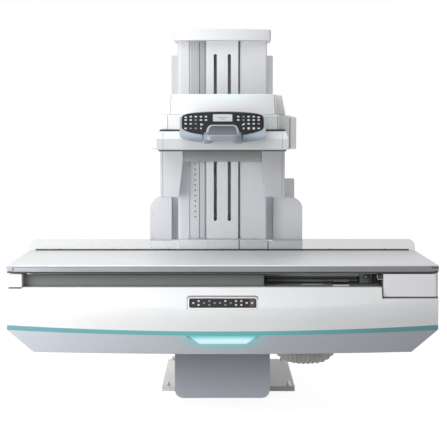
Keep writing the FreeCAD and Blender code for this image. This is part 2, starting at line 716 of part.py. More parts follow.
def make_tabletop():
    """The sliding frame and the tabletop with its rails, end caps and rear guard."""
    z_frame = (z_slide, z_slide + S.frame_thick)
    half = half_top - S.frame_inset
    y_beams = (y_front + S.rail_width, y_body_back - S.frame_beam)
    bars = []
    for number, y in enumerate(y_beams):
        bars.append(block(f"frame_beam_{number}", both(half), (y, y + S.frame_beam), z_frame))
    for number, share in enumerate((-1, -1 / 3, 1 / 3, 1)):
        x = (half - S.frame_beam / 2) * share
        span = (x - S.frame_beam / 2, x + S.frame_beam / 2)
        bars.append(block(f"frame_tie_{number}", span, (y_beams[0], y_beams[1]), z_frame))
    keep(join("sliding_frame", *bars))

    inner = half_top - S.cap_length
    y_core = (y_front + S.rail_width, y_top_back - S.rail_width)
    z_core = z_sheet_low - S.top_core
    y_guard = y_top_back - S.guard_thick
    outline = [(y_core[0], z_core), (y_core[1], z_core), (y_core[1], z_sheet_low),
               (y_guard, z_sheet_low), (y_guard, S.top_height), (y_front, S.top_height),
               (y_front, z_sheet_low), (y_core[0], z_sheet_low)]
    keep(prism("tabletop_panel", "YZ", outline, -inner, inner))
    rails = []
    for side, y in (("front", (y_front, y_core[0])), ("rear", (y_core[1], y_top_back))):
        rails.append(block(f"edge_rail_{side}", both(inner), y, (z_rail_low, z_sheet_low)))
    keep(join("tabletop_rails", *rails))
    caps = []
    for side, x in (("left", (-half_top, -inner)), ("right", (inner, half_top))):
        caps.append(block(f"end_cap_{side}", x, (y_front, y_top_back), (z_rail_low, S.top_height)))
    keep(join("tabletop_end_caps", *caps))
    z_guard = S.top_height + S.guard_height
    outline = [(-half_top, S.top_height), (-inner, S.top_height), (-inner, z_sheet_low),
               (inner, z_sheet_low), (inner, S.top_height), (half_top, S.top_height),
               (half_top, z_guard), (-half_top, z_guard)]
    keep(prism("rear_guard", "XZ", outline, y_guard, y_top_back, (((6, 7), S.guard_round),)))


def make_tower():
    """The tower that runs along the body's rear and carries the imaging head."""
    half_saddle = S.saddle_width / 2
    y_shelf = y_body_back + S.track_depth + S.shoe_wall + S.shoe_gap
    y_riser = y_stand - S.tower_gap - S.saddle_riser
    shelf = block("saddle_shelf_bar", both(half_saddle), (y_shelf, y_riser),
                  (Z.saddle_low, Z.saddle_low + S.saddle_shelf))
    riser = block("saddle_riser_bar", both(half_saddle), (y_riser, y_stand - S.tower_gap),
                  (Z.saddle_low, Z.saddle_high))
    lip = block("saddle_lip", both(half_saddle), (y_stand - S.tower_gap, y_stand),
                (Z.mast_low, Z.saddle_high))
    keep(join("tower_saddle", shelf, riser, lip))

    cars = []
    rail_z = (Z.mast_rail_low - S.shoe_gap, Z.mast_rail_low + S.mast_rail_height + S.shoe_gap)
    car_z = (rail_z[0] - S.shoe_wall + S.shoe_gap, rail_z[1] + S.shoe_wall - S.shoe_gap)
    for side, x in (("left", -half_saddle), ("right", half_saddle - S.shoe_length)):
        span = (x, x + S.shoe_length)
        outer = block(f"car_{side}_blank", span, (y_body_back + S.shoe_gap, y_shelf), car_z)
        channel = block(f"car_{side}_channel", span,
                        (y_body_back, y_body_back + S.track_depth + S.shoe_gap), rail_z)
        cars.append(cut(f"car_{side}", outer, channel))
    keep(join("tower_cars", *cars))

    half = S.mast_width / 2
    half_panel = S.mast_panel_width / 2
    y_mast = (y_stand, y_stand + S.mast_depth)
    core = block("mast_blank", both(half), y_mast, (Z.mast_low, Z.mast_high))
    channel = block("mast_channel", both(S.channel_width / 2), (y_mast[0], y_mast[0] + S.channel_depth),
                    (Z.channel_low, Z.channel_high))
    cuts = [channel]
    grooves = (("left", (-S.scale_right, -half_panel)),
               ("right", (half_panel, half_panel + S.groove_width)))
    for side, x in grooves:
        cuts.append(block(f"groove_{side}", x, (y_mast[0], y_mast[0] + S.groove_depth),
                          (Z.mast_low, Z.mast_high)))
    x_recess = -(S.scale_left + S.groove_width)
    cuts.append(block("wing_step", (x_recess, -S.scale_right), (y_mast[0], y_mast[0] + S.wing_recess),
                      (Z.mast_low, Z.mast_high)))
    keep(cut("mast_core", core, *cuts))

    y_panel = y_mast[0] - S.mast_panel_thick
    panel = block("mast_panel_blank", both(half_panel), (y_panel, y_mast[0]), (Z.saddle_high, Z.mast_high))
    slits = []
    for side, x in (("left", -S.slit_place), ("right", S.slit_place)):
        slits.append(block(f"slit_{side}", (x - S.slit_width / 2, x + S.slit_width / 2),
                           (y_panel, y_mast[0]), (Z.slit_low, Z.slit_high)))
    keep(cut("mast_panel", panel, *slits))

    y_scale = y_mast[0] + S.wing_recess - S.scale_thick
    keep(block("height_scale", (-S.scale_left, -S.scale_right - S.slide_gap),
               (y_scale, y_scale + S.scale_thick), (Z.scale_low, Z.mast_high)))

    y_back = (y_mast[1], y_mast[1] + S.back_depth)
    keep(block("mast_back", both(S.back_width / 2), y_back, (Z.mast_low, Z.back_high)))

    cap = bowed_shell(
        ((*values(S.mast_cap_width / 2, Z.mast_high + S.mast_cap_height), *values(
            Z.mast_high + S.mast_cap_height, y_stand - S.mast_panel_thick, S.mast_cap_bow)),
         (*values(S.mast_cap_width / 2, Z.mast_high, Z.mast_high, y_stand - S.mast_panel_thick,
                  S.mast_cap_bow),)),
        y_back[1].value)
    keep(feature("mast_cap", cap))

    shrouds = []
    y_shroud = (-S.shroud_front, -S.shroud_back)
    for side, sign, reach in (("left", -1, S.shroud_left), ("right", 1, S.shroud_right)):
        corners = [(S.back_width / 2 * sign, Z.mast_low), (reach * sign, Z.mast_low),
                   (reach * sign, Z.shroud_high), (S.back_width / 2 * sign, Z.shroud_high)]
        shrouds.append(prism(f"shroud_{side}_side", "XZ", corners, *y_shroud, (((2,), S.shroud_round),)))
    keep(join("tower_shrouds", *shrouds))
    keep(block("cable_guide", (S.guide_left, S.guide_right), (-S.shroud_back, S.guide_depth - S.shroud_back),
               (Z.mast_low + S.shroud_round, Z.guide_high)))


def make_head():
    """The imaging head: lift truck, tray, housings, side units, skirts and console."""
    y_tray = (-S.tray_front, -S.tray_back)
    truck_z = (Z.truck_low, Z.truck_high)
    inner = block("truck_block", both(S.channel_width / 2 - S.slide_gap),
                  (y_stand + S.truck_gap, y_stand + S.channel_depth - S.truck_gap), truck_z)
    tongues = []
    for side, x in (("left", -S.slit_place), ("right", S.slit_place)):
        tongues.append(block(f"tongue_{side}", (x - S.tongue_width / 2, x + S.tongue_width / 2),
                             (y_tray[1], y_stand + S.truck_gap), truck_z))
    keep(join("lift_truck", inner, *tongues))

    side_outline = [(y_tray[0], Z.tray_low), (y_tray[1], Z.tray_low), (y_tray[1], Z.tray_high),
                    (y_tray[0] + S.tray_chamfer, Z.tray_high), (y_tray[0], Z.tray_edge)]
    half_housing = S.housing_width / 2
    half, half_high = half_housing + S.tray_ledge, half_housing + S.tray_top_ledge
    end_outline = [(-half, Z.tray_low), (half, Z.tray_low), (half, Z.tray_edge),
                   (half_high, Z.tray_high), (-half_high, Z.tray_high), (-half, Z.tray_edge)]
    keep(overlap("head_tray", prism("tray_side", "YZ", side_outline, -half, half),
                 prism("tray_end", "XZ", end_outline, *y_tray)))
    z_film = Z.tray_high + S.film_gap
    keep(block("film_slot", both(half_high - S.film_inset),
               (y_tray[0] + S.tray_chamfer + S.film_inset, y_tray[1] - S.film_inset),
               (Z.tray_high, z_film)))

    half_shoulder = half_housing + S.shoulder_ledge
    shoulder = ((*values(half_shoulder, Z.shoulder_high, Z.shoulder_high, -S.shoulder_front,
                         S.shoulder_bow),),
                (*values(half_shoulder, z_film, z_film, -S.shoulder_front, S.shoulder_bow),))
    keep(feature("head_shoulder", bowed_shell(shoulder, -S.shoulder_back.value)))
    housing = ((*values(half_housing, Z.housing_high, Z.housing_high, -S.housing_top_front,
                        S.housing_bow),),
               (*values(half_housing, Z.shoulder_high, Z.shoulder_high, -S.housing_front,
                        S.housing_bow),))
    keep(feature("head_housing", bowed_shell(housing, -S.housing_back.value)))

    y_cheek = (-S.cheek_front, -S.cheek_back)
    cheeks, ears, skirts = [], [], []
    inside = half_shoulder + S.cheek_gap
    outside = inside + S.cheek_width
    split = half + S.cheek_room
    for side, sign in (("left", -1), ("right", 1)):
        corners = [(inside * sign, z_film), ((half_high + S.cheek_room) * sign, z_film),
                   (split * sign, Z.tray_edge), (split * sign, Z.cheek_drop),
                   (outside * sign, Z.cheek_drop), (outside * sign, Z.cheek_high - S.cheek_step),
                   (split * sign, Z.cheek_high), (inside * sign, Z.cheek_high)]
        cheeks.append(prism(f"cheek_{side}", "XZ", corners, *y_cheek))
        low, high = half_housing + S.ear_low_width, half_housing + S.ear_top_width
        corners = [((half_housing + S.slide_gap) * sign, Z.shoulder_high), (low * sign, Z.shoulder_high),
                   (high * sign, Z.housing_high), ((half_housing + S.slide_gap) * sign, Z.housing_high)]
        ears.append(prism(f"ear_{side}", "XZ", corners, *y_cheek))
        corners = [(S.skirt_inner_low * sign, Z.skirt_low), (S.skirt_outer * sign, Z.skirt_low),
                   (S.skirt_outer * sign, Z.tray_low), (S.skirt_inner_top * sign, Z.tray_low),
                   (S.skirt_inner_top * sign, Z.bar_low)]
        skirts.append(prism(f"skirt_{side}", "XZ", corners, -S.skirt_front, -S.skirt_back))
    keep(join("head_cheeks", *cheeks))
    keep(join("head_ears", *ears))
    keep(join("head_skirts", *skirts))
    keep(block("head_crossbar", both(S.skirt_inner_top), (-S.skirt_front, -S.skirt_back),
               (Z.bar_low, Z.tray_low)))


def make_console():
    """The console on the head's front: body, keypad plate and grip."""
    half = S.console_width / 2
    y_shoulder = -S.shoulder_front - S.shoulder_bow - S.slide_gap
    outline = [(-S.console_front, Z.console_low), (-S.tray_front, Z.console_low),
               (-S.tray_front, Z.tray_edge), (y_shoulder, Z.tray_high),
               (y_shoulder, Z.console_high), (-S.console_top_front, Z.console_high),
               (-S.console_front, Z.keypad_low)]
    keep(prism("console_body", "YZ", outline, -half, half))
    outline = [(-S.console_front, Z.keypad_low), (-S.console_top_front, Z.console_high),
               (-S.console_top_front - S.keypad_thick, Z.console_high),
               (-S.console_front - S.keypad_thick, Z.keypad_low)]
    keep(prism("console_keypad", "YZ", outline, -half, half))
    half_grip = S.grip_width / 2
    blank = block("grip_blank", both(half_grip), (-S.grip_front, -S.console_front - S.keypad_thick),
                  (Z.grip_low, Z.grip_high))
    gap = block("grip_gap", both(half_grip - S.grip_tube),
                (-S.grip_front + S.grip_tube, -S.console_front - S.keypad_thick), (Z.grip_low, Z.grip_high))
    keep(cut("console_grip", blank, gap))


def make_bucky():
    """The cassette unit that runs along the slot, and the tray that pulls out of it."""
    z_unit = (z_deck + S.slide_gap, z_beam_top - S.bucky_gap)
    x_right = half_body - S.bucky_inset
    x_unit = (x_right - S.bucky_length, x_right)
    y_unit = (-S.bucky_front, -S.bucky_back)
    x_mouth = (x_unit[0] + S.bucky_side, x_right - S.bucky_head)
    z_mouth = (z_unit[0] + S.bucky_side, z_unit[1] - S.bucky_side)
    blank = block("bucky_blank", x_unit, y_unit, z_unit)
    mouth = block("bucky_mouth", x_mouth, (y_unit[0], y_unit[1] - S.bucky_side), z_mouth)
    keep(cut("bucky_frame", blank, mouth))
    z_tray = (z_mouth[0] + S.slide_gap, z_mouth[0] + S.slide_gap + S.cassette_thick)
    tray = block("cassette_plate", (x_mouth[0] + S.cassette_gap, x_mouth[1] - S.cassette_gap),
                 (y_unit[0] + S.cassette_gap, y_unit[1] - S.bucky_side - S.cassette_gap), z_tray)
    x_pull = x_right - S.pull_inset
    pull = block("cassette_pull", (x_pull - S.pull_width / 2, x_pull + S.pull_width / 2),
                 (y_unit[0] - S.pull_reach, y_unit[0] + S.cassette_gap), z_tray)
    keep(join("cassette_tray", tray, pull))


make_stand()
make_tilt_head()
make_table_body()
make_sleeve()
make_tabletop()
make_tower()
make_head()
make_console()
make_bucky()
doc.recompute()

for item in doc.Objects:
    if "Invalid" in item.State or "Error" in item.State:
        raise RuntimeError(f"{item.Label} failed: {item.State}")
for node in nodes:
    if node.Shape.isNull() or not node.Shape.isValid() or node.Shape.Volume <= 0:
        raise RuntimeError(f"{node.Label} has no valid shape")

os.makedirs("parts", exist_ok=True)
for node in nodes:
    node.Shape.exportStep(f"parts/{node.Label}.step")
print(len(nodes), "sub-parts written")
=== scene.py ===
"""Looks of a tilting fluoroscopy table with a rear tower: covers, trims, keys, lamps and stage.

X runs to the right along the table, Y away from the operator and Z up. Lengths are metres, except
for the places given to mm(), at(), bars(), ribbon() and on_edge(), which are millimetres.
"""
import json
import math
from typing import NamedTuple

import bmesh
import bpy
from bpy.props import FloatProperty, FloatVectorProperty, IntProperty, PointerProperty
from mathutils import Matrix, Vector
from mathutils.bvhtree import BVHTree

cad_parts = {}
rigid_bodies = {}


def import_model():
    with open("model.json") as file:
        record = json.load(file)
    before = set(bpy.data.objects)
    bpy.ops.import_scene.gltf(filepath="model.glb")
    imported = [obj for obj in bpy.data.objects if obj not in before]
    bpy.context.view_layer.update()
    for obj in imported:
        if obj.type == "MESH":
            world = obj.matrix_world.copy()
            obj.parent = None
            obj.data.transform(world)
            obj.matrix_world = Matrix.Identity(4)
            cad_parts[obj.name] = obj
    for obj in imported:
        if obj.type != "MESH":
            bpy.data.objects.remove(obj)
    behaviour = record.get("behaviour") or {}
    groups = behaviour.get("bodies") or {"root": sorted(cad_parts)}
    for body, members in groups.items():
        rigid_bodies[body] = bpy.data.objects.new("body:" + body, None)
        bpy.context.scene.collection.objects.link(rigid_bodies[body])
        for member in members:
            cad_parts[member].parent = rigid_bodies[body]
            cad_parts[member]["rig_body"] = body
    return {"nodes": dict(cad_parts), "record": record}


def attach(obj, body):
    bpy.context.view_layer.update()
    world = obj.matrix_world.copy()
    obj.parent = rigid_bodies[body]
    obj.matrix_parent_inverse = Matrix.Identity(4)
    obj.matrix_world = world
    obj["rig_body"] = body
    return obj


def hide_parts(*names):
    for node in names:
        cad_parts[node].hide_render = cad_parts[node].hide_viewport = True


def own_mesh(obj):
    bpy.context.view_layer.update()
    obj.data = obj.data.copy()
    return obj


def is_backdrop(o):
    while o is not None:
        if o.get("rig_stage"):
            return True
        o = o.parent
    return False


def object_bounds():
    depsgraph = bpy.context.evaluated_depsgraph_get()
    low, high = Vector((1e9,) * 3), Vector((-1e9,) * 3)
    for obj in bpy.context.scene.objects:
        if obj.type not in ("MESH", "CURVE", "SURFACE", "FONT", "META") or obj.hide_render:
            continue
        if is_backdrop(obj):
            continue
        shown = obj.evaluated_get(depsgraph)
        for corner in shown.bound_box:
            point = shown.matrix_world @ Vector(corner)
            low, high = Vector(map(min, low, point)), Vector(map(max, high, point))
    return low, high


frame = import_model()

bl_info = {
    "name": "Fluoroscopy table looks",
    "version": (1, 0, 0),
    "blender": (4, 5, 0),
    "location": "3D View > Sidebar > X-ray table",
    "description": "Covers, trims, keys, lamps and stage of a tilting fluoroscopy table",
    "category": "Object",
}

NODES = frame["nodes"]
SLOTS = {part["node"]: part["material_slot"] for part in frame["record"]["subparts"]}
SIDES = (-1, 1)
FRONT = Matrix.Rotation(math.radians(90), 4, "X")
BACK = Matrix.Rotation(math.radians(-90), 4, "X")
DOWN = Matrix.Rotation(math.pi, 4, "X")
RIGHT = Matrix.Rotation(math.radians(90), 4, "Y")
LEFT = Matrix.Rotation(math.radians(-90), 4, "Y")


def colour_property(name, description, default):
    """A colour as a user picks it, in linear values."""
    return FloatVectorProperty(name=name, description=description, default=default,
                               subtype="COLOR", min=0.0, max=1.0)


def length_property(name, description, default):
    """A length in metres."""
    return FloatProperty(name=name, description=description, default=default, min=0.0,
                         unit="LENGTH", subtype="DISTANCE", precision=4)


class XRAY_PG_colours(bpy.types.PropertyGroup):
    """Colours of the finishes."""

    white: colour_property("Covers", "White powder coat of the covers", (0.84, 0.85, 0.86))
    mast: colour_property("Tower", "Light grey paint of the tower", (0.79, 0.80, 0.83))
    base: colour_property("Base", "Light grey of the base and fixings", (0.68, 0.68, 0.665))
    belly: colour_property("Underside", "Blue grey of the underside", (0.50, 0.53, 0.58))
    stand: colour_property("Stand", "Dark grey of the stand", (0.33, 0.34, 0.375))
    slot: colour_property("Slot", "Grey inside the cassette slot", (0.30, 0.31, 0.31))
    bellows: colour_property("Bellows", "Pleated cover in the slot", (0.19, 0.20, 0.197))
    tabletop: colour_property("Tabletop", "Matt laminate of the tabletop", (0.92, 0.93, 0.96))
    rail: colour_property("Rails", "Anodised rails", (0.36, 0.37, 0.40))
    console: colour_property("Console", "Blue grey of the console", (0.36, 0.415, 0.485))
    # The lamp's colour also paints its light round the recess on the underside.
    teal: colour_property("Lamp", "Light of the lamp strip and the recess", (0.12, 0.62, 0.62))
    sleeve: colour_property("Sleeve", "Woven cable sleeve", (0.56, 0.55, 0.50))


class XRAY_PG_sizes(bpy.types.PropertyGroup):
    """Sizes of edges, seams, keys and fixings."""

    cover_edge: length_property("Cover edges", "Rounding of the covers' edges", 0.004)
    sheet_edge: length_property("Sheet edges", "Rounding of the sheet metal edges", 0.0015)
    crease_edge: length_property("Crease", "Rounding of the fairing's crease", 0.022)
    block_edge: length_property("Block corner", "Rounding of the right end block's corner", 0.022)
    screw_radius: length_property("Screws", "Radius of the cover screws", 0.0045)
    anchor_radius: length_property("Anchors", "Radius of the anchor bolts", 0.0085)
    key_width: length_property("Key width", "Width of a console key", 0.0120)
    key_height: length_property("Key height", "Height of a console key", 0.0078)
    wrinkle: length_property("Wrinkles", "Depth of the sleeve's wrinkles", 0.005)
    pleats: IntProperty(name="Pleats", description="Folds along the cable sleeve",
                        default=17, min=4, max=60)
    folds: IntProperty(name="Slot folds", description="Folds of the slot's pleated cover",
                       default=86, min=10, max=300)


class XRAY_PG_stage(bpy.types.PropertyGroup):
    """Camera and light."""

    lens: FloatProperty(name="Lens", description="Focal length on a 36 mm sensor", default=105.4,
                        min=10.0, max=500.0, unit="CAMERA")
    room: FloatProperty(name="Room light", description="Strength of the even room light",
                        default=0.42, min=0.0, max=10.0)
    key: FloatProperty(name="Key light", description="Power of the soft light from the left",
                       default=54.0, min=0.0, max=5000.0, unit="POWER")
    top: FloatProperty(name="Top light", description="Power of the soft light from above",
                       default=48.0, min=0.0, max=5000.0, unit="POWER")


# Materials

TONE_BAND = (0.3, 0.7)
RELIEF = 0.0004
# Centre and reach of the lamp's painted light on the underside
LENS_SPOT = (0.0, -1.20, 0.490)
LENS_HALO = (0.29, 0.40, 0.080)
LENS_RISE = (0.484, 0.506)
LENS_LOW, LENS_HIGH = (0.56, 0.76, 0.82, 1), (0.02, 0.42, 0.43, 1)
FLOOR_LIFT = 0.72


def colour_of(colour):
    """The colour itself, or the one that a user can change under that name."""
    return getattr(bpy.context.scene.xray_colours, colour) if isinstance(colour, str) else colour


class Surface:
    """A procedural material that lies on the piece's own coordinates."""

    def __init__(self, name, colour, rough, metal=0.0):
        self.material = bpy.data.materials.new(name)
        self.material.use_nodes = True
        self.tree = self.material.node_tree
        self.shader = self.tree.nodes["Principled BSDF"]
        self.colour = colour_of(colour)
        self.rough = rough
        self.shader.inputs["Base Color"].default_value = (*self.colour, 1)
        self.shader.inputs["Roughness"].default_value = rough
        self.shader.inputs["Metallic"].default_value = metal
        self.place = self.tree.nodes.new("ShaderNodeTexCoord").outputs["Object"]

    def node(self, kind, settings=(), **inputs):
        """A node whose inputs are values or other nodes' outputs; settings are its own fields."""
        made = self.tree.nodes.new(kind)
        for field, value in dict(settings).items():
            setattr(made, field, value)
        for name, value in inputs.items():
            socket = made.inputs[int(name[1:])] if name[1:].isdigit() else made.inputs[name]
            if isinstance(value, bpy.types.NodeSocket):
                self.tree.links.new(value, socket)
            else:
                socket.default_value = value
        return made

    def link(self, output, name):
        """Feeds an output into the shader."""
        self.tree.links.new(output, self.shader.inputs[name])

    def product(self, one, two):
        """One value times another."""
        return self.node("ShaderNodeMath", {"operation": "MULTIPLY"}, i0=one, i1=two).outputs[0]

    def scaled(self, factor):
        """The base colour times a factor."""
        return self.node("ShaderNodeVectorMath", {"operation": "SCALE"}, i0=self.colour,
                         Scale=factor).outputs[0]

    def noise(self, scale, stretch=(1, 1, 1)):
        """Noise from 0 to 1 at a scale per metre, stretched by axis."""
        spot = self.node("ShaderNodeVectorMath", {"operation": "MULTIPLY"}, i0=self.place, i1=stretch)
        return self.node("ShaderNodeTexNoise", Vector=spot.outputs[0], Scale=scale,
                         Detail=3.0).outputs["Fac"]

    def span(self, value, low, high, start=0.0, end=1.0):
        """A value carried from start..end to low..high."""
        return self.node("ShaderNodeMapRange", i0=value, i1=start, i2=end, i3=low,
                         i4=high).outputs[0]

    def gradient(self, axis, *span):
        """A value that changes along an axis of the piece, as span takes it."""
        return self.span(self.node("ShaderNodeSeparateXYZ", i0=self.place).outputs[axis], *span)

    def vary(self, amount, scale=2.5, stretch=(1, 1, 1), shades=()):
        """Slight unevenness of tone and gloss; shades are gradients that the tone follows too, mostly
        painted light and shade.
        """
        noise = self.noise(scale, stretch)
        tone = self.span(noise, 1 - amount, 1 + amount, *TONE_BAND)
        for shade in shades:
            tone = self.product(tone, self.gradient(*shade))
        self.link(self.scaled(tone), "Base Color")
        self.link(self.span(noise, self.rough - amount, self.rough + amount, *TONE_BAND), "Roughness")

    def bump(self, strength, distance, height):
        """Relief of the surface."""
        made = self.node("ShaderNodeBump", Strength=strength, Distance=distance, Height=height)
        self.link(made.outputs[0], "Normal")

    def near(self, centre, reach):
        """1 at a place, falling softly to 0 at the reach along each axis."""
        away = self.node("ShaderNodeVectorMath", {"operation": "SUBTRACT"}, i0=self.place, i1=centre)
        share = self.node("ShaderNodeVectorMath", {"operation": "DIVIDE"}, i0=away.outputs[0], i1=reach)
        size = self.node("ShaderNodeVectorMath", {"operation": "LENGTH"}, i0=share.outputs[0])
        fall = self.node("ShaderNodeMapRange", {"interpolation_type": "SMOOTHSTEP"},
                         i0=size.outputs["Value"], i1=0.0, i2=1.0, i3=1.0, i4=0.0)
        return fall.outputs[0]

    def mixed(self, share, low, high):
        """A colour between two, by a share."""
        return self.node("ShaderNodeMix", {"data_type": "RGBA"}, i0=share, i6=low, i7=high).outputs[2]

    def glow(self, colour, strength):
        """Light of its own, of a strength that a node gives."""
        self.shader.inputs["Emission Color"].default_value = (*colour_of(colour), 1)
        self.link(strength, "Emission Strength")


class Look(NamedTuple):
    """A finish: its colour, or the name of one that a user can change, and what else it has."""

    colour: object
    rough: float = 0.38
    metal: float = 0.0
    vary: tuple = (0.02,)       # amount, scale and stretch of the unevenness
    shades: tuple = ()          # gradients of the tone, mostly painted light and shade: axis, two factors and where they hold
    grain: tuple = (420, 0.05)  # scale, strength and stretch of the relief, by default paint's
    halo: tuple = ()            # glow at a place: colour, place, reach, least and most strength
    inputs: dict = {}           # further inputs of the shader
    more: object = None         # a function that adds the rest


def painted_lamp_light(surface):
    """The lamp's painted light round the recess, as teal colour and glow, over painted shade that darkens
    the tone to the right.
    """
    near = surface.near(LENS_SPOT, LENS_HALO)
    tone = surface.scaled(surface.gradient("X", 1.22, 0.74, -1.0, 1.0))
    surface.link(surface.mixed(near, tone, (*colour_of("teal"), 1)), "Base Color")
    surface.glow("teal", surface.span(near, 0.0, 0.12))


def lamp_rise(surface):
    """Light that is nearly white at the recess's bottom and teal at its top."""
    rise = surface.gradient("Z", 0.0, 1.0, *LENS_RISE)
    surface.link(surface.mixed(rise, LENS_LOW, LENS_HIGH), "Emission Color")


def painted_wall_light(surface):
    """Painted light: a glow on the columns' foot behind the clear guard, stronger on its left."""
    surface.glow((0.95, 0.97, 1.0), surface.gradient("X", 0.49, 0.25, -0.33, 0.17))


def weave(surface):
    """Fine crossing threads."""
    waves = [surface.node("ShaderNodeTexWave", {"bands_direction": way}, Vector=surface.place,
                          Scale=260.0).outputs["Fac"] for way in ("X", "Z")]
    surface.bump(0.25, 0.0006, surface.product(*waves))


COAT = {"Coat Weight": 0.25, "Coat Roughness": 0.18}
KEY = {"rough": 0.4, "vary": (0.03, 20), "grain": ()}
PLAIN = {"vary": (), "grain": ()}
FINISHES = {
    # Painted covers
    "white_cover": Look("white"),
    # The housing's teal glow near its top front is a painted glint; the housing is no lamp.
    "white_housing": Look("white", halo=((0.15, 1.0, 0.95), (0.02, -1.02, 1.72), (0.26, 0.05, 0.10),
                                         0.0, 0.17)),
    # The tray's lower band is darker: partly a greyer paint of its own and partly painted shade, as the
    # upright face gets less light from above.
    "white_tray": Look("white", shades=(("Z", 0.80, 1.0, 1.471, 1.477),)),
    # Painted shade: the fairing's lower part is darker, as it gets less light from above.
    "white_fairing": Look("white", shades=(("Z", 0.85, 1.0, 0.58, 0.665),)),
    # A brighter, slightly green white: painted light that lifts the cheeks, ears and tray lips out of
    # shade.
    "white_side": Look((0.90, 0.915, 0.91), 0.42),
    "deck_grey": Look((0.50, 0.515, 0.51), 0.6),
    "slot_grey": Look("slot", 0.5),
    "groove_grey": Look((0.10, 0.105, 0.115), 0.5),
    "mast_grey": Look("mast", 0.4),
    # Painted light and shade: the tower's back is darker on its left and lighter on its right.
    "back_grey": Look("mast", 0.4, shades=(("X", 0.84, 1.36, -0.28, 0.28),)),
    # Painted shade: the skirts darken towards the tray above them and to the right.
    "skirt_grey": Look("mast", 0.4, shades=(("Z", 1.0, 0.78, 1.24, 1.415), ("X", 1.0, 0.80, -0.2, 0.3))),
    # Painted shadow under the tray: the crossbar darkens towards its top.
    "crossbar_grey": Look((0.60, 0.62, 0.61), 0.4, shades=(("Z", 0.62, 0.27, 1.34, 1.415),)),
    "scale_grey": Look((0.66, 0.67, 0.69), 0.5, shades=(("Z", 1.15, 0.70, 1.42, 1.50),)),
    "band_grey": Look((0.42, 0.43, 0.45), 0.45, shades=(("Z", 1.55, 1.0, 1.42, 1.50),)),
    # Painted light: the columns' foot glows, more on its left, though it is no lamp.
    "foot_grey": Look((0.80, 0.80, 0.83), 0.42, vary=(0.01,), grain=(), more=painted_wall_light),
    # Painted shade: the stand darkens towards its top, under the table.
    "stand_grey": Look("stand", 0.42, shades=(("Z", 2.05, 0.44, 0.02, 0.36),)),
    # Painted light: the base plate is lighter on its left, towards the key light.
    "base_grey": Look("base", 0.45, shades=(("X", 1.58, 0.86, -0.35, 0.25),)),
    # Painted shade that darkens the underside to the right, and the lamp's painted light round the recess
    "belly_grey": Look("belly", 0.34, vary=(), more=painted_lamp_light),
    # Metal and laminate
    # Painted shade: the tabletop darkens towards its right end.
    "tabletop_grey": Look("tabletop", vary=(0.035, 1.4, (1, 2, 1)), shades=(("X", 1.0, 0.80, 0.1, 1.0),),
                          grain=(1500, 0.04)),
    # Painted shade: the rails darken towards the right.
    "rail_grey": Look("rail", 0.36, 0.75, (0.05, 60, (0.04, 1, 1)), (("X", 0.98, 0.56, -0.9, 1.0),),
                      (600, 0.06, (0.03, 1, 1))),
    "bearing_steel": Look((0.55, 0.56, 0.58), 0.3, 1.0, (0.06, 90, (0.05, 1, 1)),
                          grain=(900, 0.06, (0.04, 1, 1))),
    "zinc": Look((0.62, 0.62, 0.60), 0.34, 1.0, (0.05, 40), grain=()),
    # Lamps and clear sheet
    "teal_light": Look((0.10, 0.30, 0.32), 0.35, **PLAIN,
                       halo=("teal", (0, -1.24, 0.54), (1.0, 1.0, 1.0), 0.0, 0.20)),
    "teal_lens": Look((0.10, 0.14, 0.14), 0.25, **PLAIN, inputs={"Emission Strength": 1.0}, more=lamp_rise),
    # Painted highlight: the clear guard is brighter on its left and darker on its right.
    "guard_clear": Look((0.50, 0.53, 0.515), 0.32, vary=(0.01,), shades=(("X", 1.35, 0.35, -0.9, 0.9),),
                        grain=(), inputs={"Alpha": 0.25, "IOR": 1.46}),
    # Console and keys
    # Painted shade: the console darkens towards its bottom.
    "console_blue": Look("console", 0.3, shades=(("Z", 0.55, 1.06, 1.452, 1.482),), grain=(900, 0.03),
                         inputs=COAT),
    "grip_blue": Look((0.27, 0.31, 0.36), 0.26, grain=(), inputs=COAT),
    # Painted shade in the grip's recess, darker towards its top.
    "grip_shade": Look((0.10, 0.115, 0.135), 0.4, shades=(("Z", 1.7, 0.55, 1.495, 1.535),), grain=()),
    "keypad_black": Look((0.009, 0.010, 0.012), 0.34, vary=(0.02, 6), grain=(),
                         inputs={"Specular IOR Level": 0.22}),
    "key_pale": Look((0.62, 0.64, 0.63), **KEY),
    "key_dim": Look((0.20, 0.21, 0.22), **KEY),
    "key_red": Look((0.62, 0.22, 0.20), **KEY),
    "field_red": Look((0.055, 0.010, 0.014), 0.3, **PLAIN),
    "display_pale": Look((0.56, 0.58, 0.58), 0.2, **PLAIN,
                         halo=((0.75, 0.82, 0.80), (0, -1.12, 1.58), (0.08, 0.1, 0.03), 0.02, 0.08)),
    "display_mark": Look((0.12, 0.14, 0.15), 0.3, **PLAIN),
    # Gaps, cloth and small dark things
    "slit_dark": Look((0.022, 0.024, 0.028), 0.55, vary=(0.03, 8), grain=(900, 0.08)),
    "cap_dark": Look((0.055, 0.06, 0.068), 0.45, vary=(0.03, 8), grain=(800, 0.08)),
    "socket_dark": Look((0.03, 0.03, 0.032), 0.5, vary=(0.02, 30), grain=()),
    "hood_shade": Look((0.24, 0.24, 0.25), 0.6, vary=(0.02, 20), grain=()),
    "seam_dark": Look((0.10, 0.105, 0.11), 0.7, **PLAIN),
    # Painted shade under the tabletop: the bellows darken towards their top.
    "bellows_grey": Look("bellows", 0.75, vary=(0.03, 12), shades=(("Z", 1.12, 0.66, 0.762, 0.797),),
                         grain=(1200, 0.12)),
    "sleeve_beige": Look("sleeve", 0.85, vary=(0.08, 22), grain=(), more=weave,
                         inputs={"Sheen Weight": 0.3, "Sheen Roughness": 0.5}),
}
made_finishes = {}


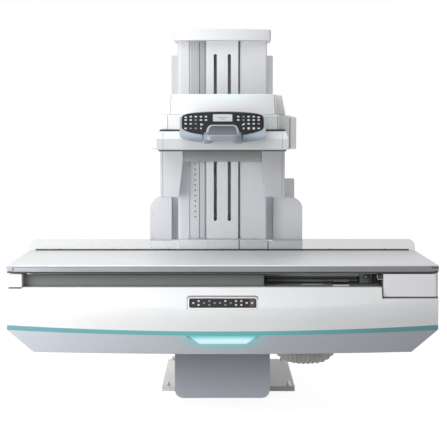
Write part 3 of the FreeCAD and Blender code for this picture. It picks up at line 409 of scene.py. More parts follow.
def finish(name):
    """The material of a finish, made when it is first asked for."""
    if name not in made_finishes:
        look = FINISHES[name]
        surface = Surface(name, look.colour, look.rough, look.metal)
        if look.vary:
            surface.vary(*look.vary, shades=look.shades)
        if look.grain:
            scale, strength, *stretch = look.grain
            surface.bump(strength, RELIEF, surface.noise(scale, *stretch))
        if look.halo:
            colour, centre, reach, low, high = look.halo
            surface.glow(colour, surface.span(surface.near(centre, reach), low, high))
        for socket, value in look.inputs.items():
            surface.shader.inputs[socket].default_value = value
        if look.more:
            look.more(surface)
        made_finishes[name] = surface.material
    return made_finishes[name]


# Shapes

MERGE = 0.00002
FLAT = math.radians(0.5)
SHARP = math.radians(24)
SMOOTH_BELOW = math.radians(38)


def mm(*values):
    """Millimetres as a vector in metres."""
    return Vector(values) / 1000


def at(x, y, z, turn=None):
    """A place in millimetres, with a turn."""
    place = Matrix.Translation(mm(x, y, z))
    return place @ turn if turn is not None else place


def turns(count, first=0):
    """Even angles round a circle, from a first one given in degrees."""
    return [math.radians(number * 360 / count + first) for number in range(count)]


def node_mesh(name):
    """A CAD node's faces, merged and freed of flat triangles' inner edges."""
    bm = bmesh.new()
    bm.from_mesh(NODES[name].data)
    bmesh.ops.remove_doubles(bm, verts=bm.verts, dist=MERGE)
    bmesh.ops.dissolve_limit(bm, angle_limit=FLAT, verts=bm.verts, edges=bm.edges)
    return bm


def bevel(bm, geom, width, segments, affect="EDGES"):
    """Rounds edges or corners."""
    return bmesh.ops.bevel(bm, geom=geom, offset=width, offset_type="OFFSET", affect=affect,
                           segments=segments, profile=0.5, material=-1, clamp_overlap=True)


def round_edges(bm, width, segments, pick):
    """Rounds the sharp edges that pick accepts."""
    edges = [edge for edge in bm.edges if len(edge.link_faces) == 2
             and edge.calc_face_angle(0) > SHARP and pick(edge)]
    if edges and width:
        bevel(bm, edges, width, segments)


def piece(name, bm, body, look, replaces=()):
    """A finished piece that rides on a CAD body."""
    bmesh.ops.recalc_face_normals(bm, faces=bm.faces)
    for face in bm.faces:
        face.smooth = True
    for edge in bm.edges:
        edge.smooth = len(edge.link_faces) == 2 and edge.calc_face_angle(0) < SMOOTH_BELOW
    mesh = bpy.data.meshes.new(name)
    bm.to_mesh(mesh)
    bm.free()
    mesh.materials.append(finish(look))
    obj = bpy.data.objects.new(name, mesh)
    bpy.context.scene.collection.objects.link(obj)
    weighted = obj.modifiers.new("weighted", "WEIGHTED_NORMAL")
    weighted.keep_sharp = True
    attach(obj, body)
    if replaces:
        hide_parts(*replaces)
    return obj


def dress(node, width, look=None, segments=3, extra=()):
    """Stands for a CAD node with rounded edges; extra pairs a test of an edge and its own width."""
    bm = node_mesh(node)
    for pick, own in extra:
        round_edges(bm, own, 6, pick)
    round_edges(bm, width, segments, lambda edge: not any(pick(edge) for pick, own in extra))
    slot = SLOTS[node]
    return piece(node + "_skin", bm, NODES[node]["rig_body"], look or slot, [node])


def dress_all(width, *nodes, look=None):
    """Dresses several nodes in the same way."""
    for node in nodes:
        dress(node, width, look)


def add_box(bm, low, high, width=0.0, turn=None, segments=2):
    """A box between two corners, with rounded edges, turned by a matrix after that."""
    low, high = Vector(low), Vector(high)
    size = high - low
    place = Matrix.Translation((low + high) / 2) @ Matrix.Diagonal((*size, 1))
    verts = bmesh.ops.create_cube(bm, size=1, matrix=place)["verts"]
    if width:
        made = bevel(bm, list({edge for vert in verts for edge in vert.link_edges}), width, segments)
        verts = list({vert for face in made["faces"] for vert in face.verts} |
                     {vert for vert in verts if vert.is_valid})
    if turn is not None:
        bmesh.ops.transform(bm, matrix=turn, verts=verts)


def add_disc(bm, radius, depth, place, sides=24, width=0.0):
    """A cylinder whose base is at the place's origin and that rises along its Z."""
    made = bmesh.ops.create_cone(bm, cap_ends=True, segments=sides, radius1=radius, radius2=radius,
                                 depth=depth, matrix=place @ Matrix.Translation((0, 0, depth / 2)))
    if width:
        tip = place @ Vector((0, 0, depth))
        up = (place.to_3x3() @ Vector((0, 0, 1))).normalized()
        rim = [edge for edge in {edge for vert in made["verts"] for edge in vert.link_edges}
               if all(abs((vert.co - tip).dot(up)) < depth * 0.01 for vert in edge.verts)]
        bevel(bm, rim, width, 2)


def add_plate(bm, corners, depth, place, rounds=0.0, width=0.0, segments=5):
    """A plate from corners on the place's XY plane that rises along Z, with round corners and rim."""
    verts = [bm.verts.new((*corner, 0)) for corner in corners]
    face = bm.faces.new(verts)
    if rounds:
        made = bevel(bm, verts, rounds, segments, "VERTICES")
        face = max((item for vert in made["verts"] for item in vert.link_faces),
                   key=lambda item: item.calc_area())
    if face.normal.z > 0:
        face.normal_flip()
    out = bmesh.ops.extrude_face_region(bm, geom=[face])["geom"]
    raised = [item for item in out if isinstance(item, bmesh.types.BMVert)]
    bmesh.ops.translate(bm, verts=raised, vec=(0, 0, depth))
    whole = set(raised) | {edge.other_vert(vert) for vert in raised for edge in vert.link_edges}
    if width:
        top = [edge for edge in {edge for vert in raised for edge in vert.link_edges}
               if all(vert in raised for vert in edge.verts)]
        made = bevel(bm, top, width, 3)
        whole = {vert for vert in whole if vert.is_valid} | set(made["verts"])
    bmesh.ops.transform(bm, matrix=place, verts=list(whole))


def rectangle(width, height):
    """Corners of a rectangle round the origin."""
    return [(-width / 2, -height / 2), (width / 2, -height / 2), (width / 2, height / 2),
            (-width / 2, height / 2)]


def loft(bm, rows, caps=True):
    """A tube through closed rows of equally many points, with a face on each end."""
    rows = [[bm.verts.new(spot) for spot in row] for row in rows]
    for near, far in zip(rows, rows[1:]):
        for index in range(len(near)):
            after = (index + 1) % len(near)
            bm.faces.new((near[index], near[after], far[after], far[index]))
    if caps:
        bm.faces.new(rows[0])
        bm.faces.new(reversed(rows[-1]))


def heading(line, number):
    """The direction of a line of points at one of them."""
    return (line[min(number + 1, len(line) - 1)] - line[max(number - 1, 0)]).normalized()


def bars(name, body, look, boxes, width=0.0004):
    """Boxes given by low and high corner in millimetres, as one piece."""
    bm = bmesh.new()
    for low, high in boxes:
        add_box(bm, mm(*low), mm(*high), width)
    return piece(name, bm, body, look)


def discs(name, body, look, radius, depth, places, sides=24, width=0.0):
    """Equal discs or bolts, as one piece."""
    bm = bmesh.new()
    for place in places:
        add_disc(bm, radius, depth, place, sides, width)
    return piece(name, bm, body, look)


def plate(name, body, slot, look, *shape, replaces=()):
    """One plate as a piece; shape is what add_plate takes."""
    bm = bmesh.new()
    add_plate(bm, *shape)
    return piece(name, bm, body, look, replaces)


def screws(name, body, places, radius=None):
    """Domed screws in one piece, with their dark sockets in another."""
    radius = radius or sizes().screw_radius
    discs(name, body, "zinc", radius, radius * 0.35, places, 20, radius * 0.2)
    discs(name + "_sockets", body, "socket_dark", radius * 0.45, radius * 0.38, places, 6)


def ribbon(bm, node, start, end, width=0.0022, proud=0.0004, count=16):
    """A thin line on a node's front face, between two places given as x and z in millimetres."""
    mesh = node_mesh(node)
    tree = BVHTree.FromBMesh(mesh)
    mesh.free()
    start, end = mm(start[0], 0, start[1]), mm(end[0], 0, end[1])
    across = (end - start).cross(Vector((0, 1, 0))).normalized() * width / 2
    inward = Vector((0, proud * 3, 0))
    rows = []
    for number in range(count + 1):
        spot = start.lerp(end, number / count)
        hit = tree.ray_cast(Vector((spot.x, -3, spot.z)), Vector((0, 1, 0)))[0]
        if hit is None:
            raise RuntimeError(f"no face of {node} at {spot}")
        front = hit + Vector((0, -proud, 0))
        rows.append((front - across, front + across, front + across + inward, front - across + inward))
    loft(bm, rows)


def on_edge(axis, *spots):
    """Tests if an edge runs along an axis at a place; spots pair an axis number and millimetres."""
    def test(edge):
        """Whether the edge lies on the line."""
        one, two = (vert.co for vert in edge.verts)
        run = two - one
        if abs(run[axis]) < run.length * 0.999:
            return False
        return all(abs(one[number] - value / 1000) < 0.001 for number, value in spots)
    return test


def sizes():
    """The sizes that a user can change."""
    return bpy.context.scene.xray_sizes


# Groups of pieces

FINE = 0.0002  # edge rounding of the thinnest lines
CREASE_LOW, CREASE_HIGH, CREASE_FRONT = 0.644, 0.6705, -1.13

# Faces and heights that the small pieces lie on, in millimetres
TILT_AXIS_Z = 600
ANCHORS_X, ANCHORS_Y, PLATE_TOP, WASHER = (-316, 387), (-24, 816), 29, 3
CABINET_SIDE, CABINET_BACK = 258, 800
CABINET_SCREWS_Z = (80, 430, 760)
VENT_PITCH, VENT_HEIGHT = 18, 7
LOUVRE_WIDTH, LOUVRE_HEIGHT = 120, 6
REAR_FACE, BELLY_UNDER = -400, 400
BLOCK_FRONT, RAIL_FRONT, CAP_FRONT = -1136, -1136, -1137.6
MAST_FRONT, PANEL_FRONT, MAST_REAR, BACK_HALF = -250, -266, -30, 286
MAST_LOW, RIBS_LOW, MAST_TOP = 910, 1500, 2006
FOOT_FRONT, FOOT_BACK, FOOT_LOW, FOOT_EDGE_TOP, FOOT_TOP = -331.4, -329.4, 812, 902, 907
SKIRT_FRONT, SKIRT_TOP, TRAY_UNDER = -328, 1418, 1419
UNIT_FRONT = -963.5


class XRAY_OT_stand(bpy.types.Operator):
    """Dresses the floor-fixed stand and adds its anchor bolts, seams and vents"""

    bl_idname = "xray.stand"
    bl_label = "Stand"

    def execute(self, context):
        cover, sheet = sizes().cover_edge, sizes().sheet_edge
        dress("base_plate", sheet * 2)
        dress_all(sheet, "stand_foot", "stand_housing", "tilt_bearing")
        dress_all(cover, "stand_front_cover", "drive_cabinet")
        self.anchors()
        self.cabinet()
        return {"FINISHED"}

    def anchors(self):
        """A washer, nut and stud in each corner of the base plate."""
        radius = sizes().anchor_radius
        spots = [(x, y) for x in ANCHORS_X for y in ANCHORS_Y]
        discs("anchor_washers", "stand", "zinc", radius * 2.1, WASHER / 1000,
              [at(x, y, PLATE_TOP) for x, y in spots], 28, 0.0006)
        nuts = bmesh.new()
        for x, y in spots:
            place = at(x, y, PLATE_TOP + WASHER)
            add_disc(nuts, radius * 1.55, 0.012, place, 6, 0.001)
            add_disc(nuts, radius * 0.9, 0.020, place, 20, 0.001)
        piece("anchor_nuts", nuts, "stand", "zinc")

    def cabinet(self):
        """Door seams, slotted vents and screws on the cabinet's sides and rear."""
        seams, vents, places = [], [], []
        for side, turn in zip(SIDES, (LEFT, RIGHT)):
            seam, vent = side * (CABINET_SIDE + 0.4), side * (CABINET_SIDE + 0.6)
            seams += [((seam - 0.5, y, 60), (seam + 0.5, y + 3, 780)) for y in (128, 462, 796)]
            vents += [((vent - 0.7, 190, z), (vent + 0.7, 410, z + VENT_HEIGHT))
                      for z in range(110, 272, VENT_PITCH)]
            places += [at(side * CABINET_SIDE, y, z, turn)
                       for y in (146, 444, 480, 778) for z in CABINET_SCREWS_Z]
        vents += [((-180, CABINET_BACK - 0.6, z), (180, CABINET_BACK + 0.8, z + VENT_HEIGHT))
                  for z in range(120, 336, VENT_PITCH)]
        places += [at(x, CABINET_BACK, z, BACK) for x in (-235, 235) for z in CABINET_SCREWS_Z]
        bars("cabinet_seams", "stand", "seam_dark", seams, FINE)
        bars("cabinet_vents", "stand", "slit_dark", vents)
        screws("cabinet_screws", "stand", places)


class XRAY_OT_tilt(bpy.types.Operator):
    """Dresses the tilt shaft, plate and guide shoes and bolts them together"""

    bl_idname = "xray.tilt"
    bl_label = "Tilt head"

    def execute(self, context):
        dress_all(sizes().sheet_edge, "tilt_shaft", "tilt_plate", "tilt_shoes", "tilt_tracks")
        self.bolts("tilt_plate_bolts", "tilt_head", count=12, first=15, ring=112, y=-315, way=BACK,
                   radius=0.008, depth=0.007, width=0.001)
        self.bolts("tilt_bearing_bolts", "stand", count=8, first=0, ring=105, y=-238, way=FRONT,
                   radius=0.005, depth=0.005, width=0.0008)
        return {"FINISHED"}

    def bolts(self, name, body, count, first, ring, y, way, radius, depth, width):
        """Bolt heads on a circle round the tilt axis, the first one at an angle in degrees."""
        places = [at(ring * math.cos(turn), y, TILT_AXIS_Z + ring * math.sin(turn), way)
                  for turn in turns(count, first)]
        discs(name, body, "zinc", radius, depth, places, 6, width)


class XRAY_OT_covers(bpy.types.Operator):
    """Dresses the table body's covers, blocks, slot and underside"""

    bl_idname = "xray.covers"
    bl_label = "Body covers"

    def execute(self, context):
        cover, sheet = sizes().cover_edge, sizes().sheet_edge

        def crease(edge):
            """Whether the edge is the front crease."""
            heights = sorted(vert.co.z for vert in edge.verts)
            return (CREASE_LOW < heights[0] and heights[1] < CREASE_HIGH
                    and min(vert.co.y for vert in edge.verts) < CREASE_FRONT)

        dress("front_fairing", sheet * 2, "white_fairing", extra=((crease, sizes().crease_edge),))
        dress("end_covers", cover)
        dress("left_end_block", cover, extra=((on_edge(2, (0, -1059), (1, BLOCK_FRONT)), cover * 2),))
        dress("right_end_block", cover * 0.6,
              extra=((on_edge(2, (0, 1070), (1, BLOCK_FRONT)), sizes().block_edge),))
        dress("belly_front", sheet)
        dress("slot_deck", sheet, "deck_grey")
        dress_all(sheet * 0.7, "belly_floor", "belly_ends", "belly_rear", "rear_cover", "rear_beam",
                  "tower_rail")
        self.seams()
        self.rear()
        self.slot()
        return {"FINISHED"}

    def seams(self):
        """Fine dark joints round the blocks and between fairing and end covers."""
        bars("block_seams", "table_body", "seam_dark", [
            ((-1059.5, -1137.4, 734), (-994, -1110, 740.4)),
            ((791.5, -1134, 700), (795.8, -1115, 804)),
            ((789, -1133.5, 686), (1068, -1114, 692)),
            ((-1069, -1111.5, 549), (-1040, -1110.4, 739)),
            ((1040, -1111.5, 549), (1069, -1110.4, 692))], 0.0003)

    def rear(self):
        """Louvres, panel joints and screws of the rear cover, and screws of the floor."""
        bars("rear_louvres", "table_body", "slit_dark", [
            ((x, REAR_FACE - 0.6, z), (x + LOUVRE_WIDTH, REAR_FACE + 0.3, z + LOUVRE_HEIGHT))
            for x in (-1040, 920) for z in range(640, 700, 2 * LOUVRE_HEIGHT)])
        bars("rear_joints", "table_body", "seam_dark", [
            ((x, REAR_FACE - 0.3, 552), (x + 2, REAR_FACE + 0.4, 726)) for x in (-640, 640)], FINE)
        screws("rear_screws", "table_body", [
            at(x, REAR_FACE, z, BACK) for x in (-1020, -660, -610, 610, 660, 1020) for z in (566, 712)])
        screws("under_screws", "table_body", [
            at(x, y, BELLY_UNDER, DOWN) for x in (-900, -450, 0, 450, 900) for y in (-960, -460)])

    def slot(self):
        """The slot's rails, dark sheets of painted shade on its end faces, its pleated cover and the catch
        at its right end.
        """
        bars("slot_rail", "table_body", "socket_dark", [
            ((-985, -481.8, 768), (785, -480, 774)), ((-985, -481.8, 792), (785, -480, 795))], 0.0003)
        self.bellows()
        # Painted shade: dark sheets on the slot's end faces, where the gaps lie in shadow.
        bars("slot_end", "table_body", "slit_dark", [
            ((-994.2, -1134, 742), (-993, -962, 803)), ((791.6, -1117, 742), (795.4, -962, 803))], FINE)
        bars("slot_latch", "table_body", "socket_dark",
             [((773, -1131, 787), (792, -1112, 803))], 0.001)
        bars("slot_catch", "table_body", "base_grey", [
            ((768, -1130, 778), (794, -1112, 781)), ((766, -1130, 784), (768, -1112, 800))], 0.0008)

    def bellows(self, left=-994.0, right=206.0, low=742.0, high=799.0, front=-1086, fold=2, back=-1077):
        """Upright folds of coated cloth, on a mesh of its own; on the real table they close up to the left
        as the unit travels there.
        """
        bm = bmesh.new()
        steps = 2 * sizes().folds
        rows = []
        for number in range(steps + 1):
            x = left + (right - left) * number / steps
            y = front if number % 2 else front + fold
            rows.append((mm(x, y, low), mm(x, y, high), mm(x, back, high), mm(x, back, low)))
        loft(bm, rows)
        obj = piece("slot_bellows", bm, "table_body", "bellows_grey")
        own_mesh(obj)


class XRAY_OT_lamps(bpy.types.Operator):
    """Dresses the lit strip and the lit recess under the fairing"""

    bl_idname = "xray.lamps"
    bl_label = "Lamps"

    def execute(self, context):
        dress("light_band", sizes().sheet_edge)
        dress("light_lens", sizes().cover_edge, "teal_lens", 4)
        return {"FINISHED"}


STRIP_TILT = math.radians(-41.48)
STRIP_PLACE = Matrix.Translation(mm(0, -1197.6, 670)) @ Matrix.Rotation(STRIP_TILT, 4, "X") @ FRONT
STRIP_COLUMNS, STRIP_PITCH, STRIP_ROW = 12, 0.0262, 0.0115
STRIP_FACE, STRIP_KEY, STRIP_FIELD = (0.331, 0.062), (0.0108, 0.0100), (0.026, 0.044)
# Half width, half height and corner radius of the rim's and the hood's edges
RIM_OUTER, RIM_INNER = (0.1705, 0.0355, 0.014), (0.1650, 0.0300, 0.009)
HOOD_OUTER, HOOD_INNER = (0.1760, 0.0440, 0.016), (0.1730, 0.0360, 0.014)
HOOD_POINTS = 17
STRIP_PAIRS = {1, 3, 6, 8, 9}
STRIP_DIM = {(3, 0), (3, 1), (4, 0), (5, 0), (6, 1), (7, 0), (2, 0)}


class XRAY_OT_strip(bpy.types.Operator):
    """Dresses the control strip on the fairing: hooded rim, membrane and two rows of keys"""

    bl_idname = "xray.strip"
    bl_label = "Control strip"

    def execute(self, context):
        plate("strip_membrane", "table_body", "keypad_black", "keypad_black", rectangle(*STRIP_FACE),
              0.0105, self.spot(0, -0.0035, -0.010), 0.011, 0.001, replaces=["control_panel"])
        self.rim()
        self.hood()
        self.keys()
        return {"FINISHED"}

    def spot(self, x, y, z):
        """A place on the strip's face."""
        return STRIP_PLACE @ Matrix.Translation((x, y, z))

    def ring(self, half_x, half_y, radius):
        """Points of a rounded rectangle, anticlockwise from its right side."""
        points = []
        for sx, sy, start in ((1, 1, 0), (-1, 1, 90), (-1, -1, 180), (1, -1, 270)):
            for step in range(7):
                turn = math.radians(start + step * 15)
                points.append((sx * (half_x - radius) + radius * math.cos(turn),
                               sy * (half_y - radius) + radius * math.sin(turn)))
        return points

    def rim(self):
        """A thin frame round the strip."""
        bm = bmesh.new()
        outer, inner = self.ring(*RIM_OUTER), self.ring(*RIM_INNER)
        loft(bm, [[STRIP_PLACE @ Vector((x, y, z)) for x, y in points] for points, z in (
            (outer, -0.003), (outer, 0.0012), (inner, 0.0030), (inner, -0.003))], caps=False)
        piece("strip_rim", bm, "table_body", "white_cover")

    def hood(self):
        """The shaded step of the hood, over the strip's upper edge and down its left end."""
        bm = bmesh.new()
        outer, inner = self.ring(*HOOD_OUTER), self.ring(*HOOD_INNER)
        loft(bm, [[STRIP_PLACE @ Vector((*points[index], z)) for points, z in (
            (outer, -0.002), (outer, 0.0008), (inner, 0.0008), (inner, -0.002))]
            for index in range(HOOD_POINTS)])
        piece("strip_hood", bm, "table_body", "hood_shade")

    def keys(self):
        """Twelve columns of one or two small keys; the last one sits on a red field."""
        groups = {"pale": bmesh.new(), "dim": bmesh.new()}
        middle = (STRIP_COLUMNS - 1) / 2
        for column in range(STRIP_COLUMNS):
            x = (column - middle) * STRIP_PITCH
            for row, y in enumerate((STRIP_ROW, -STRIP_ROW) if column in STRIP_PAIRS else (0.0,)):
                kind = "dim" if (column, row) in STRIP_DIM else "pale"
                add_plate(groups[kind], rectangle(*STRIP_KEY), 0.0013, self.spot(x, y, 0.0004),
                          0.0035, 0.0004, 4)
        for kind, bm in groups.items():
            piece(f"strip_keys_{kind}", bm, "table_body", "key_" + kind)
        plate("strip_field", "table_body", "keypad_black", "field_red", rectangle(*STRIP_FIELD), 0.0004,
              self.spot(middle * STRIP_PITCH + 0.001, 0, 0.0003), 0.006)


ROUTE = ((306, 0), (306, 58), (352, 104), (450, 120), (548, 112), (598, 60), (598, 0))
SLEEVE_Y, SLEEVE_TOP, SLEEVE_RADIUS, GLAND_RING = -450, 385, 0.0345, 42.5
# How far the pleats wander round the sleeve, in pleats, once and twice a turn
WANDER_ONCE, WANDER_TWICE = 0.35, 0.22
# Shares of the crisp and the soft wave in the folds' depth, and how far the cloth sinks between them
CRISP_SHARE, SOFT_SHARE, SINK = 0.55, 0.35, 0.25


def sleeve_line(step=0.003):
    """Points along the sleeve's centre line: straight runs with tangent arcs."""
    route = [mm(x, SLEEVE_Y, SLEEVE_TOP - drop) for x, drop in ROUTE]
    points = [route[0]]

    def run_to(end):
        """Add even steps from the last point to the end."""
        start = points[-1]
        count = max(1, round((end - start).length / step))
        points.extend(start.lerp(end, number / count) for number in range(1, count + 1))

    for before, corner, after in zip(route, route[1:], route[2:]):
        back, ahead = before - corner, after - corner
        half_turn = (math.pi - back.angle(ahead)) / 2
        trim = 0.45 * min(back.length, ahead.length)
        radius = trim / math.tan(half_turn)
        back.normalize()
        ahead.normalize()
        run_to(corner + back * trim)
        inward = (back + ahead).normalized()
        centre = corner + inward * (radius / math.cos(half_turn))
        first, last = corner + back * trim - centre, corner + ahead * trim - centre
        turn = first.angle(last)
        count = max(3, round(radius * turn / step))
        axis = first.cross(last).normalized()
        for number in range(1, count + 1):
            points.append(centre + Matrix.Rotation(turn * number / count, 3, axis) @ first)
    run_to(route[-1])
    return points


class XRAY_OT_sleeve(bpy.types.Operator):
    """Makes the pleated cable sleeve under the table and the clamps of its two ends"""

    bl_idname = "xray.sleeve"
    bl_label = "Cable sleeve"

    def execute(self, context):
        line = sleeve_line()
        lengths = [0.0]
        for one, two in zip(line, line[1:]):
            lengths.append(lengths[-1] + (two - one).length)
        total = lengths[-1]
        obj = self.tube(line, [length / total for length in lengths])
        self.clamps()
        return {"FINISHED"}

    def tube(self, line, shares, sides=48, ends=14):
        """The cloth tube: its radius swells between pleats that wander round it."""
        bm = bmesh.new()
        depth, pleats = sizes().wrinkle, sizes().pleats
        side = Vector((0, 1, 0))
        rings = []
        for number, (point, share) in enumerate(zip(line, shares)):
            up = heading(line, number).cross(side).normalized()
            ease = min(1.0, share * ends, (1 - share) * ends)
            ring = []
            for turn in turns(sides):
                wander = (WANDER_ONCE * math.sin(turn + 5 * share)
                          + WANDER_TWICE * math.sin(2 * turn - 9 * share))
                wave = math.sin(2 * math.pi * (pleats * share + wander))
                crisp = math.copysign(abs(wave) ** 0.7, wave)
                soft = 0.5 * math.sin(3 * turn + 16 * share)
                swell = CRISP_SHARE * crisp + SOFT_SHARE * soft - SINK
                radius = SLEEVE_RADIUS + ease * depth * swell
                ring.append(point + (side * math.cos(turn) + up * math.sin(turn)) * radius)
            rings.append(ring)
        loft(bm, rings)
        return piece("cable_sleeve_skin", bm, "table_body", "sleeve_beige",
                     ["cable_sleeve"])

    def clamps(self):
        """Glands with a hose clamp and screws."""
        dress("sleeve_glands", sizes().sheet_edge)
        bands, bolts = bmesh.new(), []
        for x in (ROUTE[0][0], ROUTE[-1][0]):
            add_disc(bands, 0.0375, 0.009, at(x, SLEEVE_Y, 373), 48, 0.001)
            add_box(bands, mm(x - 8, SLEEVE_Y - 47, 372), mm(x + 8, SLEEVE_Y - 36, 383), 0.001)
            for turn in turns(4, 45):
                bolts.append(at(x + GLAND_RING * math.cos(turn), SLEEVE_Y + GLAND_RING * math.sin(turn),
                                SLEEVE_TOP, DOWN))
        piece("sleeve_clamps", bands, "table_body", "zinc")
        discs("gland_screws", "table_body", "zinc", 0.0028, 0.002, bolts, 6)


class XRAY_OT_tabletop(bpy.types.Operator):
    """Dresses the tabletop, its rails and end caps, the rear guard and the sliding frame"""

    bl_idname = "xray.tabletop"
    bl_label = "Tabletop"

    def execute(self, context):
        sheet = sizes().sheet_edge
        dress_all(sheet, "tabletop_panel", "rear_guard")
        dress("tabletop_rails", sheet, extra=((on_edge(0, (1, RAIL_FRONT), (2, 817)), 0.003),))
        dress("tabletop_end_caps", sheet * 2, "tabletop_grey")
        dress("sliding_frame", sheet * 0.7)
        bars("rail_groove", "tabletop", "hood_shade",
             [((-1034, RAIL_FRONT - 0.4, 838), (1034, RAIL_FRONT + 1, 840.5))], 0.0003)
        # Painted shadow: a black strip under the rail's front, where the gap under the tabletop lies.
        bars("rail_seal", "tabletop", "slit_dark",
             [((-1066, RAIL_FRONT + 1.5, 811), (1066, RAIL_FRONT + 8, 817))], 0.0006)
        bars("cap_plates", "tabletop", "rail_grey", [
            ((middle - 17, CAP_FRONT, 818), (middle + 17, CAP_FRONT + 3.6, 846))
            for middle in (-1053, 1053)], 0.0012)
        bars("cap_marks", "tabletop", "cap_dark", [
            ((left, CAP_FRONT - 0.6, low), (right, CAP_FRONT + 0.6, high)) for left, right, low, high in (
                (-1039, -1035, 823, 838), (-1060, -1038, 819, 822), (1036, 1069, 834, 841),
                (1036, 1069, 818, 824))])
        bars("guard_seal", "tabletop", "slit_dark",
             [((-1034, -354, 849.5), (1034, -346, 857.5))], 0.0008)
        screws("cap_screws", "tabletop", [
            at(x, CAP_FRONT, 824, FRONT) for x in (-1064, -1042, 1042, 1064)], 0.0030)
        screws("guard_screws", "tabletop", [at(x, -336, 856, BACK) for x in range(-900, 901, 300)])
        return {"FINISHED"}


class XRAY_OT_tower(bpy.types.Operator):
    """Dresses the tower and adds its slits, painted shade on its grooves, scale holes and rear panels"""

    bl_idname = "xray.tower"
    bl_label = "Tower"

    def execute(self, context):
        cover, sheet = sizes().cover_edge, sizes().sheet_edge
        dress("mast_core", sheet, extra=((on_edge(2, (0, -248), (1, MAST_FRONT)), 0.020),
                                         (on_edge(2, (0, 248), (1, MAST_FRONT)), 0.010)))
        dress_all(sheet, "mast_panel", "tower_saddle")
        dress("mast_back", sheet * 2, "back_grey")
        dress("mast_cap", cover, extra=[
            (on_edge(2, (0, x), (1, PANEL_FRONT)), 0.014) for x in (270, -270)])
        dress("tower_shrouds", cover, "mast_grey")
        dress("cable_guide", cover * 2, "mast_grey")
        dress("tower_cars", sheet * 0.7)
        self.scale()
        self.lines()
        self.foot()
        self.rear()
        return {"FINISHED"}

    def scale(self):
        """The perforated strip: holes in its lower part, ribs in its upper part."""
        dress("height_scale", sizes().sheet_edge * 0.3, "scale_grey")
        discs("scale_holes", "tower", "socket_dark", 0.0040, 0.0004,
              [at(-152, -245.8, 1030 + number * 29.6, FRONT) for number in range(16)], 18)
        bars("scale_ribs", "tower", "mast_grey", [
            ((x, -246.9, RIBS_LOW), (x + 2, -245.9, MAST_TOP)) for x in range(-170, -133, 9)])

    def lines(self):
        """Thin dark strips down the tower's front, painted shade on the walls of its grooves, and the ends
        of the slits.
        """
        # Painted shade: dark strips where the grooves' walls face away from the light.
        bars("tower_joints", "tower", "groove_grey", [
            ((89.2, MAST_FRONT - 0.4, MAST_LOW), (94.6, MAST_FRONT + 0.4, MAST_TOP)),
            ((-129.6, MAST_FRONT - 0.6, MAST_LOW), (-126.0, MAST_FRONT + 1, MAST_TOP))], FINE)
        bars("tower_band", "tower", "band_grey",
             [((-126, MAST_FRONT - 0.4, MAST_LOW), (-99, MAST_FRONT + 0.4, MAST_TOP))], FINE)
        discs("slit_ends", "tower", "slit_dark", 0.0085, 0.0008,
              [at(x, PANEL_FRONT + 0.4, z, FRONT) for x in (-39, 39) for z in (1016, 1927)])

    def foot(self):
        """Thin plates that carry the columns on down behind the clear guard."""
        bars("mast_foot", "tower", "foot_grey", [
            ((left, FOOT_FRONT, FOOT_LOW), (right, FOOT_BACK, high)) for left, right, high in (
                (-401, -253, FOOT_EDGE_TOP), (-243, -81, FOOT_TOP), (-80, 90, FOOT_TOP),
                (97, 251, FOOT_TOP), (257, 445, FOOT_EDGE_TOP))], 0.0006)
        bars("foot_back", "tower", "groove_grey",
             [((-199, FOOT_BACK - 0.2, FOOT_LOW), (199, FOOT_BACK + 2.4, FOOT_TOP - 2))], FINE)
        bars("foot_joint", "tower", "groove_grey",
             [((251, FOOT_FRONT + 0.4, FOOT_LOW), (257, FOOT_BACK - 0.2, FOOT_EDGE_TOP))], FINE)

    def rear(self):
        """Screwed panels and vents on the tower's rear channel and shrouds."""
        joints = [((-268, MAST_REAR - 0.4, z), (268, MAST_REAR + 0.6, z + 2)) for z in (1240, 1590)]
        joints += [((x - 0.5, -106, 920), (x + 0.5, -104, 1930)) for x in (-BACK_HALF, BACK_HALF)]
        bars("back_joints", "tower", "seam_dark", joints, FINE)
        bars("back_vents", "tower", "slit_dark", [
            ((-150, MAST_REAR - 0.4, z), (150, MAST_REAR + 0.8, z + VENT_HEIGHT))
            for z in range(1640, 1832, 16)])
        screws("back_screws", "tower", [
            at(x, MAST_REAR, z, BACK) for x in (-262, 262) for z in (905, 1215, 1265, 1565, 1615, 1915)])
        screws("shroud_screws", "tower", [
            at(x, -172, z, FRONT) for x in (-392, 436) for z in (905, 1040)], 0.0035)


